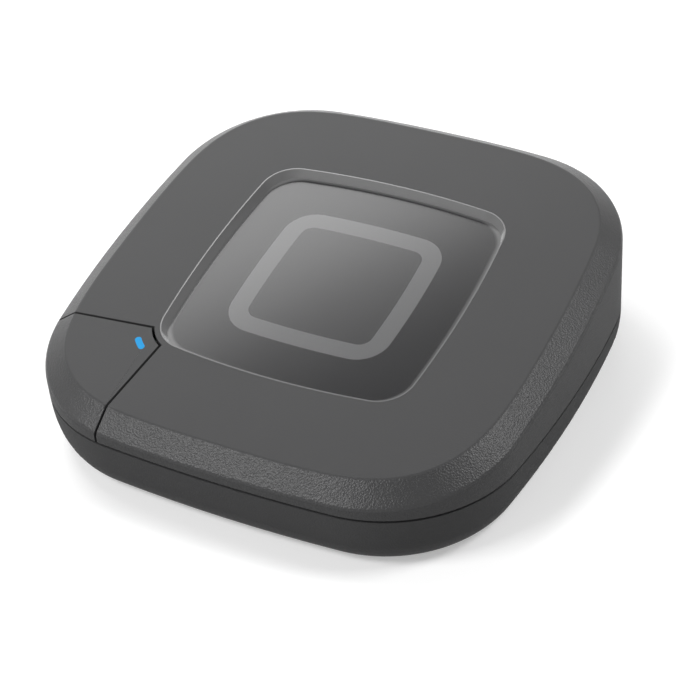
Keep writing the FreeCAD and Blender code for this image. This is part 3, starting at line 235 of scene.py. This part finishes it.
# Where the tray's colours change, in millimetres: in from the opening, down from the top, in from the ring
TRAY_WALL_FADE, TRAY_FLOOR_FADE, RING_FADE = (-2.3, -1.0), (-1.95, -1.7), (-2.5, 0.0)
TRAY_CLOUD_SCALE, TRAY_CLOUD_ROUGHNESS = 60, 0.04
TRAY_RIPPLE_SCALE, TRAY_RIPPLE_DEPTH = 480, 0.000003


def tray(name, floor_colour, painted_light_wall_colour, inside_colour, roughness):
    """Smoked gloss plastic of the window tray, lighter inside the ring, with painted light on its recess
    wall: the wall is painted much lighter than the floor.
    """
    finish = Finish(name)
    across, along, height = top_place(finish)
    edge = outline(across, along, *OPENING)
    island = outline(across, along, *RING_INSIDE)
    # painted light: the recess wall gets a much lighter colour, standing in for the light that falls on it
    wall = edge.ramp(*TRAY_WALL_FADE).most(height.ramp(*TRAY_FLOOR_FADE))
    inside = island.ramp(*RING_FADE, 1.0, 0.0)
    cloud = finish.noise(TRAY_CLOUD_SCALE, *CLOUD)
    finish.set(
        base_color=finish.tint(wall, finish.tint(inside, floor_colour, inside_colour), painted_light_wall_colour),
        roughness=cloud * TRAY_CLOUD_ROUGHNESS + (roughness - TRAY_CLOUD_ROUGHNESS / 2),
        normal=finish.relief(finish.noise(TRAY_RIPPLE_SCALE), TRAY_RIPPLE_DEPTH),
        coat_weight=1.0,
        coat_roughness=roughness,
    )
    return finish


def top_place(finish):
    """Place in the plane of the top face, and height above it, in millimetres."""
    split = finish.split(finish.place())
    x, y, z = (split.out(axis) * MM_PER_M for axis in "XYZ")
    rise = z - TOP_HEIGHT
    along = y * math.cos(TOP_TILT) + rise * math.sin(TOP_TILT)
    return x, along, rise * math.cos(TOP_TILT) - y * math.sin(TOP_TILT)


def outline(across, along, half, bow, corner):
    """Distance from a bowed square with round corners, in millimetres, below zero inside it."""
    right = across.size() + along * along * (bow[0] / half[1] ** 2) + (corner - half[0])
    back = along.size() + across * across * (bow[1] / half[0] ** 2) + (corner - half[1])
    outside = (right.most(0.0) ** 2 + back.most(0.0) ** 2).root()
    return outside + right.most(back).least(0.0) - corner


PLAIN_CLOUD_ROUGHNESS = 0.12
RIPPLES_PER_CLOUD = 8


def plain(name, colour, roughness, metallic=0.0, mottle=0.08, scale=160, depth=0.00002):
    """A plain finish with slight unevenness in colour, gloss and surface."""
    finish = Finish(name)
    cloud = finish.noise(scale, *CLOUD)
    ripple = finish.noise(scale * RIPPLES_PER_CLOUD)
    finish.set(
        base_color=finish.tint(
            cloud.ramp(*CLOUD_FADE), shaded(colour, 1 - mottle), shaded(colour, 1 + mottle)
        ),
        roughness=cloud * PLAIN_CLOUD_ROUGHNESS + (roughness - PLAIN_CLOUD_ROUGHNESS / 2),
        metallic=metallic,
        normal=finish.relief(ripple, depth),
    )
    return finish


# Finishes

RING_GREY = (0.108, 0.108, 0.11)

housing_plastic = moulded(
    "housing_plastic",
    colour=(0.045, 0.045, 0.046),
    roughness=0.33,
    upright_roughness=0.37,
    specular=0.35,
    grain_depth=0.00011,
    flat_share=0.1,
)
shell_plastic = moulded(
    "shell_plastic",
    colour=(0.060, 0.060, 0.061),
    roughness=0.55,
    upright_roughness=0.25,
    specular=0.2,
    grain_depth=0.0001,
    flat_share=0.5,
)
window_plastic = tray(
    "window_plastic",
    floor_colour=(0.018, 0.018, 0.019),
    # painted light: the recess wall is painted much lighter than the tray's floor
    painted_light_wall_colour=(0.148, 0.148, 0.149),
    inside_colour=(0.034, 0.034, 0.035),
    roughness=0.16,
)
ring_plastic = tray("ring_plastic", RING_GREY, RING_GREY, RING_GREY, roughness=0.16)
foot_rubber = plain("foot_rubber", (0.03, 0.03, 0.031), 0.75, depth=0.00006)
socket_plastic = plain("socket_plastic", (0.022, 0.022, 0.023), 0.5)
shield_metal = plain("shield_metal", (0.55, 0.55, 0.54), 0.32, metallic=1.0, depth=0.00001)
screw_steel = plain("screw_steel", (0.33, 0.33, 0.34), 0.35, metallic=1.0)
contact_metal = plain("contact_metal", (0.83, 0.6, 0.26), 0.25, metallic=1.0, depth=0.00001)
board_laminate = plain("board_laminate", (0.015, 0.12, 0.05), 0.35, mottle=0.2, scale=220)
chip_plastic = plain("chip_plastic", (0.018, 0.018, 0.019), 0.6)
ceramic = plain("ceramic", (0.5, 0.38, 0.25), 0.5)
lamp_plastic = plain("lamp_plastic", (0.8, 0.8, 0.76), 0.3)
can_aluminium = plain("can_aluminium", (0.7, 0.7, 0.71), 0.3, metallic=1.0)
adhesive_foam = plain("adhesive_foam", (0.7, 0.7, 0.67), 0.8)
status_blue = plain("status_blue", (0.01, 0.15, 0.35), 0.4, mottle=0.02)
status_blue.set(specular_ior_level=0.15, emission_color=(0.01, 0.28, 0.56), emission_strength=0.55)

FINISH_NODES = (
    (housing_plastic, ("top_cover", "system_button")),
    (shell_plastic, ("bottom_shell",)),
    (window_plastic, ("window_panel",)),
    (ring_plastic, ("light_ring",)),
    (status_blue, ("light_guide",)),
    (adhesive_foam, ("window_adhesive",)),
    (board_laminate, ("main_board", "radio_module")),
    (screw_steel, ("board_screws", "case_screws")),
    (foot_rubber, ("rubber_feet",)),
    (socket_plastic, ("network_socket", "power_socket", "switch_housing", "switch_plunger")),
    (shield_metal, ("network_socket_shield", "radio_shield", "aerial", "crystal")),
    (shield_metal, ("switch_frame", "switch_dome")),
    (contact_metal, ("network_contacts", "power_pin", "power_contact")),
    (can_aluminium, ("capacitors",)),
    (ceramic, ("ceramic_parts", "power_inductor")),
    (lamp_plastic, ("status_led",)),
    (chip_plastic, ("processor", "memory_chip", "flash_chip", "network_controller")),
    (chip_plastic, ("network_transformer", "voltage_regulator")),
)


def dress(piece, finish):
    piece.data.materials.clear()
    piece.data.materials.append(finish.material)


for finish, node_names in FINISH_NODES:
    for node_name in node_names:
        dress(part[node_name], finish)


# Pieces that stand for solids of the frame, with the rounding that the mould gives them

MERGE_REACH = 0.000001
MERGE_ANGLE = math.radians(0.3)


def pick_nothing(edges=False, faces=False):
    """Clears the selection, and sets what the next one is made of."""
    bpy.context.tool_settings.mesh_select_mode = (False, edges, faces)
    bpy.ops.mesh.select_all(action="DESELECT")


def merged_copy(node, name):
    """A copy of a solid with its loose triangles joined into whole faces, open for editing."""
    bpy.ops.object.select_all(action="DESELECT")
    piece = bpy.data.objects.new(name, part[node].data.copy())
    bpy.context.scene.collection.objects.link(piece)
    bpy.context.view_layer.objects.active = piece
    piece.select_set(True)
    bpy.ops.object.mode_set(mode="EDIT")
    bpy.context.tool_settings.mesh_select_mode = (False, True, False)
    bpy.ops.mesh.select_all(action="SELECT")
    bpy.ops.mesh.remove_doubles(threshold=MERGE_REACH)
    bpy.ops.mesh.dissolve_limited(angle_limit=MERGE_ANGLE)
    pick_nothing(edges=True)
    return piece


def close(piece, sharp_angle=30):
    """Leaves edit mode, shades the rounded places smoothly and keeps the flat ones flat."""
    bpy.ops.object.mode_set(mode="OBJECT")
    bpy.ops.object.shade_smooth_by_angle(angle=math.radians(sharp_angle))
    bpy.ops.object.modifier_add(type="WEIGHTED_NORMAL")
    piece.modifiers[-1].keep_sharp = True
    bpy.ops.object.modifier_apply(modifier=piece.modifiers[-1].name)


def stand_for(piece, node, body, finish):
    """Puts a finished piece in the place of a solid, on the same body."""
    dress(piece, finish)
    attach(piece, body)
    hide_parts(node)


# The cover and the button: rounded chamfer edges, and a cut between them that can be seen.
# The crest is the chamfer's upper edge and the shoulder its lower one; lengths are in metres

CREST_ROUND, CREST_STEPS = 0.00035, 3
SHOULDER_ROUND, SHOULDER_STEPS = 0.0006, 4
TOP_LEAN = 0.9995
CHAMFER_LOW, CHAMFER_HIGH = 0.7, 0.95
WALL_RISE, WALL_OUTWARD = 0.1, 0.5

CUT_SHY = 0.00015
CUT_LIMIT = 3 * CUT_SHY
CUT_REACH = 0.0006
CUT_RISE = 0.05
CUT_SAMPLES = (0.5, 0.9)
HOLD = 0.0001


def on_top(normal):
    return normal.dot(TOP_NORMAL) > TOP_LEAN


def on_chamfer(normal):
    return CHAMFER_LOW < normal.dot(TOP_NORMAL) < CHAMFER_HIGH


def faces_out(middle, normal):
    """Whether a face beside this middle is an upright outer wall."""
    away = Vector((middle.x, middle.y, 0)).normalized()
    return abs(normal.z) < WALL_RISE and normal.dot(away) > WALL_OUTWARD


def on_crest(middle, one, other):
    return on_top(one) and on_chamfer(other)


def on_shoulder(middle, one, other):
    return faces_out(middle, one) and on_chamfer(other)


def pick_edges(piece, wanted):
    """Selects the edges for which wanted(middle, one side's normal, the other side's normal) holds."""
    sheet = bmesh.from_edit_mesh(piece.data)
    sheet.normal_update()
    for edge in sheet.edges:
        if len(edge.link_faces) == 2:
            middle = (edge.verts[0].co + edge.verts[1].co) / 2
            one, other = (face.normal for face in edge.link_faces)
            if wanted(middle, one, other) or wanted(middle, other, one):
                edge.select_set(True)
    bmesh.update_edit_mesh(piece.data)


def round_edges(piece, wanted, offset, steps):
    """Rounds the wanted edges and leaves nothing selected."""
    pick_edges(piece, wanted)
    bpy.ops.mesh.bevel(offset=offset, segments=steps, profile=0.5, affect="EDGES", clamp_overlap=False)
    pick_nothing(edges=True)


def facing_walls(sheet, neighbour):
    """The upright faces that look at the neighbour across a narrow cut."""
    corners = [vertex.co for vertex in neighbour.data.vertices]
    solid = BVHTree.FromPolygons(corners, [face.vertices[:] for face in neighbour.data.polygons])
    walls = set()
    for face in sheet.faces:
        if abs(face.normal.z) < CUT_RISE:
            middle = face.calc_center_median()
            places = [middle.lerp(vertex.co, share) for vertex in face.verts for share in CUT_SAMPLES]
            if any(solid.ray_cast(at, face.normal, CUT_REACH)[0] for at in [middle, *places]):
                walls.add(face)
    return walls


def draw_back(piece, neighbour):
    """Moves the cut walls that face a neighbour a little away from it, within the faces that they meet."""
    sheet = bmesh.from_edit_mesh(piece.data)
    sheet.normal_update()
    walls = facing_walls(sheet, neighbour)
    moves = {}
    for vertex in {vertex for face in walls for vertex in face.verts}:
        # least squares: CUT_SHY back from each wall, no way off the other faces, and a weak hold
        pull = Matrix.Diagonal((HOLD, HOLD, HOLD))
        aim = Vector((0, 0, 0))
        for face in vertex.link_faces:
            normal = face.normal
            pull += Matrix((normal * normal.x, normal * normal.y, normal * normal.z))
            if face in walls:
                aim -= normal * CUT_SHY
        moves[vertex] = pull.inverted() @ aim
    for vertex, move in moves.items():
        vertex.co += move * min(1.0, CUT_LIMIT / max(move.length, 1e-9))
    bmesh.update_edit_mesh(piece.data)


def soften_chamfer(node, name, body, neighbour=None):
    """The housing's chamfer with a small rounding at its upper and lower edge."""
    piece = merged_copy(node, name)
    round_edges(piece, on_crest, CREST_ROUND, CREST_STEPS)
    round_edges(piece, on_shoulder, SHOULDER_ROUND, SHOULDER_STEPS)
    if neighbour:
        draw_back(piece, part[neighbour])
    close(piece)
    stand_for(piece, node, body, housing_plastic)


soften_chamfer("top_cover", "soft_cover", "housing")
soften_chamfer("system_button", "soft_button", "button", neighbour="top_cover")


# The bottom shell: one long curve from the parting groove to the bottom. Its outline is in
# millimetres: bowed sides and ends, given by half size and bow, with four tangent corner arcs

HALF_WIDTH, HALF_DEPTH = 55.0, 54.5
SIDE_BOW, END_BOW = 5.5, 4.05
SIDE_RADIUS = (HALF_DEPTH**2 + SIDE_BOW**2) / (2 * SIDE_BOW)
END_RADIUS = (HALF_WIDTH**2 + END_BOW**2) / (2 * END_BOW)
CORNER_RADIUS = 29.6
SIDE_CENTRE = Vector((HALF_WIDTH - SIDE_RADIUS, 0))
END_CENTRE = Vector((0, HALF_DEPTH - END_RADIUS))

SHELL_FOOT = 0.6
SHELL_ROUND = 5.0
SHELL_RIM = 11.25
PARTING_SLOPE = math.tan(math.radians(2.1))
TUCK_POWER = 2.3
TUCK_STEPS = 10
RIM_SLACK = 0.02
WALL_SLACK = 0.2


def corner_centre():
    """Middle of the corner arc that touches the bowed side and the bowed end."""
    gap = END_CENTRE - SIDE_CENTRE
    side_reach = SIDE_RADIUS - CORNER_RADIUS
    end_reach = END_RADIUS - CORNER_RADIUS
    along = (side_reach**2 - end_reach**2 + gap.length**2) / (2 * gap.length)
    across = math.sqrt(side_reach**2 - along**2)
    unit = gap.normalized()
    return SIDE_CENTRE + unit * along + Vector((-unit.y, unit.x)) * across


def bearing(direction):
    return direction.angle_signed(Vector((1, 0)), 0)


CORNER_CENTRE = corner_centre()
CORNER_START = bearing(CORNER_CENTRE - SIDE_CENTRE)
CORNER_END = bearing(CORNER_CENTRE - END_CENTRE)


def inside_outline(place):
    """How deep a place lies inside the outline, in millimetres, and the way out from there."""
    folded = Vector((abs(place.x), abs(place.y))) * MM_PER_M
    angle = bearing(folded - CORNER_CENTRE)
    centre, radius = CORNER_CENTRE, CORNER_RADIUS
    if angle < CORNER_START:
        centre, radius = SIDE_CENTRE, SIDE_RADIUS
    elif angle > CORNER_END:
        centre, radius = END_CENTRE, END_RADIUS
    reach = folded - centre
    out = reach.normalized()
    return radius - reach.length, Vector((math.copysign(out.x, place.x), math.copysign(out.y, place.y), 0))


def shell_rim(y):
    """Height of the shell's upper edge in millimetres, for a y in metres."""
    return SHELL_RIM - y * MM_PER_M * PARTING_SLOPE


def solid_inset(z):
    """How far the solid's rounding stands in from the outline at a height in millimetres."""
    rise = min(max((SHELL_FOOT + SHELL_ROUND - z) / SHELL_ROUND, 0.0), 1.0)
    return SHELL_ROUND * (1 - math.sqrt(1 - rise * rise))


def tucked_inset(y, z):
    """How far the finished shell stands in from the outline there, the height in millimetres."""
    rim = shell_rim(y)
    fall = min(max((rim - z) / (rim - SHELL_FOOT), 0.0), 1.0)
    return SHELL_ROUND * (1 - (1 - fall**TUCK_POWER) ** (1 / TUCK_POWER))


def on_outer_wall(place):
    height = place.z * MM_PER_M
    if height > shell_rim(place.y) + RIM_SLACK:
        return False
    depth = inside_outline(place)[0]
    return abs(depth - solid_inset(height)) < WALL_SLACK


def cut_outer_wall(piece, share):
    """Cuts the outer wall along a plane at a share of its height, tilted by as much as the rim is."""
    sheet = bmesh.from_edit_mesh(piece.data)
    outer = {vertex for vertex in sheet.verts if on_outer_wall(vertex.co)}
    for face in sheet.faces:
        face.select_set(all(vertex in outer for vertex in face.verts))
    bmesh.update_edit_mesh(piece.data)
    height = (SHELL_FOOT + share * (SHELL_RIM - SHELL_FOOT)) / MM_PER_M
    bpy.ops.mesh.bisect(plane_co=(0, 0, height), plane_no=(0, share * PARTING_SLOPE, 1))
    pick_nothing(edges=True)


def tuck_shell():
    """The bottom shell, whose outside curves in from the parting groove down to the bottom."""
    piece = merged_copy("bottom_shell", "tucked_shell")
    for step in range(1, TUCK_STEPS):
        cut_outer_wall(piece, (step / TUCK_STEPS) ** 2)
    sheet = bmesh.from_edit_mesh(piece.data)
    for vertex in [vertex for vertex in sheet.verts if on_outer_wall(vertex.co)]:
        depth, out = inside_outline(vertex.co)
        inset = tucked_inset(vertex.co.y, vertex.co.z * MM_PER_M)
        vertex.co -= out * (inset - depth) / MM_PER_M
    bmesh.update_edit_mesh(piece.data)
    close(piece, sharp_angle=35)
    stand_for(piece, "bottom_shell", "housing", shell_plastic)


tuck_shell()


# Feet and case screws, each built about the middle and then set out

ROUND_SIDES = 48
EDGE_STEPS = 4
SAME_HEIGHT, SAME_RADIUS = 1e-6, 1e-5
END_LEAN = 0.9


def round_bar(name, radius, low, high):
    """An upright round bar about the middle, open for editing."""
    bpy.ops.object.select_all(action="DESELECT")
    bpy.ops.mesh.primitive_cylinder_add(
        vertices=ROUND_SIDES, radius=radius, depth=high - low, location=(0, 0, (low + high) / 2)
    )
    piece = bpy.context.object
    piece.name = name
    bpy.ops.object.transform_apply(location=True, rotation=False, scale=False)
    bpy.ops.object.mode_set(mode="EDIT")
    return piece


def pick_end(piece, height, upwards):
    """Selects the flat end at a height, where upwards is 1 for an end that looks up and -1 for down."""
    pick_nothing(faces=True)
    sheet = bmesh.from_edit_mesh(piece.data)
    sheet.normal_update()
    for face in sheet.faces:
        level = abs(face.calc_center_median().z - height) < SAME_HEIGHT
        if level and face.normal.z * upwards > END_LEAN:
            face.select_set(True)
    bmesh.update_edit_mesh(piece.data)


def round_rim(piece, radius, height, offset):
    """Rounds the edge with a radius at a height."""
    pick_nothing(edges=True)
    sheet = bmesh.from_edit_mesh(piece.data)
    for edge in sheet.edges:
        places = [vertex.co for vertex in edge.verts]
        level = all(abs(at.z - height) < SAME_HEIGHT for at in places)
        if level and all(abs(at.xy.length - radius) < SAME_RADIUS for at in places):
            edge.select_set(True)
    bmesh.update_edit_mesh(piece.data)
    bpy.ops.mesh.bevel(offset=offset, segments=EDGE_STEPS, profile=0.5, affect="EDGES")


def raise_end(height):
    bpy.ops.mesh.extrude_region_move(TRANSFORM_OT_translate={"value": (0, 0, height)})


def set_out(pattern, xs, ys, node, finish):
    """Puts a copy of the pattern, with its own mesh, at each crossing, and takes the pattern away."""
    places = [(x, y) for x in xs for y in ys]
    for number, (x, y) in enumerate(places, 1):
        mesh = pattern.data.copy()
        mesh.transform(Matrix.Translation((x, y, 0)))
        copy = bpy.data.objects.new(f"{pattern.name}_{number}", mesh)
        bpy.context.scene.collection.objects.link(copy)
        stand_for(copy, node, "housing", finish)
    bpy.data.objects.remove(pattern)


FOOT_RADIUS, FOOT_TOP, FOOT_ROUND = 0.00485, 0.0014, 0.00035
DISH_RIM, DISH_SLOPE, DISH_DEPTH = 0.0011, 0.0005, 0.00018
FOOT_XS, FOOT_YS = (-0.037, 0.037), (-0.034, 0.034)


def set_feet():
    """Four round rubber feet with a rounded edge and a shallow dish."""
    foot = round_bar("round_foot", FOOT_RADIUS, 0.0, FOOT_TOP)
    round_rim(foot, FOOT_RADIUS, 0.0, FOOT_ROUND)
    pick_end(foot, 0.0, -1)
    bpy.ops.mesh.inset(thickness=DISH_RIM)
    bpy.ops.mesh.inset(thickness=DISH_SLOPE)
    bpy.ops.transform.translate(value=(0, 0, DISH_DEPTH))
    close(foot)
    set_out(foot, FOOT_XS, FOOT_YS, "rubber_feet", foot_rubber)


HEAD_RADIUS, HEAD_LOW, HEAD_HIGH, HEAD_ROUND = 0.00268, 0.001, 0.003, 0.0005
DRIVE_RADIUS, DRIVE_DEPTH = 0.00135, 0.0012
DRIVE_LOBES, LOBE_SHARE = 6, 0.14
SHANK_RADIUS, SHANK_LENGTH, SHANK_TAPER = 0.00138, 0.0135, 0.7
SCREW_XS, SCREW_YS = (-0.0445, 0.0445), (-0.012, 0.024)


def set_screws():
    """Four case screws with a rounded head and a six-lobed drive recess."""
    screw = round_bar("case_screw", HEAD_RADIUS, HEAD_LOW, HEAD_HIGH)
    round_rim(screw, HEAD_RADIUS, HEAD_LOW, HEAD_ROUND)
    pick_end(screw, HEAD_LOW, -1)
    bpy.ops.mesh.inset(thickness=HEAD_RADIUS - HEAD_ROUND - DRIVE_RADIUS)
    sheet = bmesh.from_edit_mesh(screw.data)
    for vertex in (vertex for vertex in sheet.verts if vertex.select):
        lobe = math.cos(DRIVE_LOBES * math.atan2(vertex.co.y, vertex.co.x))
        vertex.co.xy *= 1 + LOBE_SHARE * lobe
    bmesh.update_edit_mesh(screw.data)
    raise_end(DRIVE_DEPTH)
    pick_end(screw, HEAD_HIGH, 1)
    bpy.ops.mesh.inset(thickness=HEAD_RADIUS - SHANK_RADIUS)
    raise_end(SHANK_LENGTH)
    bpy.ops.transform.resize(value=(SHANK_TAPER, SHANK_TAPER, 1))
    close(screw)
    set_out(screw, SCREW_XS, SCREW_YS, "case_screws", screw_steel)


set_feet()
set_screws()


# Floor, light and camera

WHITE = (1.0, 1.0, 1.0)
FLOOR_SIZE = 6.0
FLOOR_MATTE = 0.75
FLOOR_GLOW = 0.32
FLOOR_THROWN = 0.3


def pale_floor():
    """White to the eye with a soft shadow, and plain pale grey to the light that it throws back."""
    finish = Finish("pale_floor")
    finish.tree.nodes.remove(finish.surface)
    seen = finish.seen_directly()
    matte = finish.node("BsdfDiffuse", values={"Color": (FLOOR_MATTE,) * 3})
    glow = finish.node("Emission", values={"Color": WHITE, "Strength": FLOOR_GLOW})
    white = finish.node("AddShader", values={0: matte.out(), 1: glow.out()})
    thrown = finish.node("BsdfDiffuse", values={"Color": (FLOOR_THROWN,) * 3})
    finish.feed(finish.output.inputs["Surface"], finish.mix_shaders(seen, thrown, white).out())
    return finish.material


bpy.ops.mesh.primitive_plane_add(size=FLOOR_SIZE, location=(0, 0, 0))
floor = bpy.context.object
floor.name = "floor"
floor.data.materials.append(pale_floor())

AIM = Vector((0, 0, 0.02))


def heading(azimuth, elevation):
    """Direction at an angle from +Y towards -X, and at an angle above the table."""
    a = math.radians(azimuth)
    e = math.radians(elevation)
    return Vector((-math.sin(a) * math.cos(e), math.cos(a) * math.cos(e), math.sin(e)))


def softbox(name, azimuth, elevation, power, distance=1.3, size=(0.4, 0.4), roll=0):
    """A rectangular lamp that looks at the object from a direction, upright or rolled by some degrees."""
    lamp = bpy.data.lights.new(name, "AREA")
    lamp.shape = "RECTANGLE"
    lamp.size, lamp.size_y = size
    lamp.energy = power
    holder = bpy.data.objects.new(name, lamp)
    direction = heading(azimuth, elevation).normalized()
    turn = direction.to_track_quat("Z", "Y").to_matrix().to_4x4()
    turn = turn @ Matrix.Rotation(math.radians(roll), 4, "Z")
    holder.matrix_world = Matrix.Translation(AIM + direction * distance) @ turn
    bpy.context.scene.collection.objects.link(holder)
    return holder


key = softbox("key_softbox", azimuth=66, elevation=64, power=4.6)
key.visible_glossy = False
softbox("back_softbox", azimuth=38.5, elevation=35.5, power=4.05, distance=1.2, size=(1.0, 0.58), roll=7)
softbox("front_softbox", azimuth=140, elevation=50, power=7.7)
softbox("right_softbox", azimuth=-62, elevation=51, power=6.8)

# The room's light by the way that a ray goes: up from the walls to the ceiling, and across to the right
WALL_LIGHT, CEILING_LIGHT, CEILING_FADE = 0.78, 0.01, (0.62, 0.86)
RIGHT_WALL_SHARE, RIGHT_FADE = 0.6, (0.1, 0.85)


def studio_world():
    """White to the camera; to all other rays, in gloss too, a room with pale walls and a dark ceiling."""
    world = bpy.data.worlds.new("studio")
    studio = Sheet(world)
    seen = studio.seen_directly()
    way = studio.split(studio.node("TexCoord").out("Generated"))
    light = way.out("Z").ramp(*CEILING_FADE, WALL_LIGHT, CEILING_LIGHT)
    light = light * way.out("X").ramp(*RIGHT_FADE, 1.0, RIGHT_WALL_SHARE)
    # gloss shows the room's own light, because a white ceiling would veil the dark top
    shown = studio.node("LightPath").out("Is Camera Ray").most(light)
    room = studio.node("Background", values={"Color": WHITE, "Strength": light})
    white = studio.node("Background", values={"Color": WHITE, "Strength": shown})
    output = studio.tree.nodes.new("ShaderNodeOutputWorld")
    studio.feed(output.inputs["Surface"], studio.mix_shaders(seen, room, white).out())
    return world


bpy.context.scene.world = studio_world()

SENSOR_WIDTH, LENS = 36.0, 100.5
CAMERA_PLACE = Vector((0.1709, -0.2878, 0.2741))
CAMERA_RIGHT = Vector((0.8870, 0.4569, -0.0672))
CAMERA_BACK = Vector((0.3947, -0.6744, 0.6240))
SHIFT_LEFT, SHIFT_DOWN = 0.0001, 0.00021


def photo_camera():
    """The camera that was fitted to the photograph."""
    camera_data = bpy.data.cameras.new("photo_camera")
    camera_data.sensor_width = SENSOR_WIDTH
    camera_data.lens = LENS
    camera = bpy.data.objects.new("photo_camera", camera_data)
    back = CAMERA_BACK.normalized()
    up = back.cross(CAMERA_RIGHT.normalized()).normalized()
    right = up.cross(back)
    axes = Matrix((right, up, back)).transposed().to_4x4()
    camera.matrix_world = Matrix.Translation(CAMERA_PLACE - up * SHIFT_DOWN - right * SHIFT_LEFT) @ axes
    bpy.context.scene.collection.objects.link(camera)
    return camera


bpy.context.scene.camera = photo_camera()
bpy.context.scene.view_settings.view_transform = "Standard"
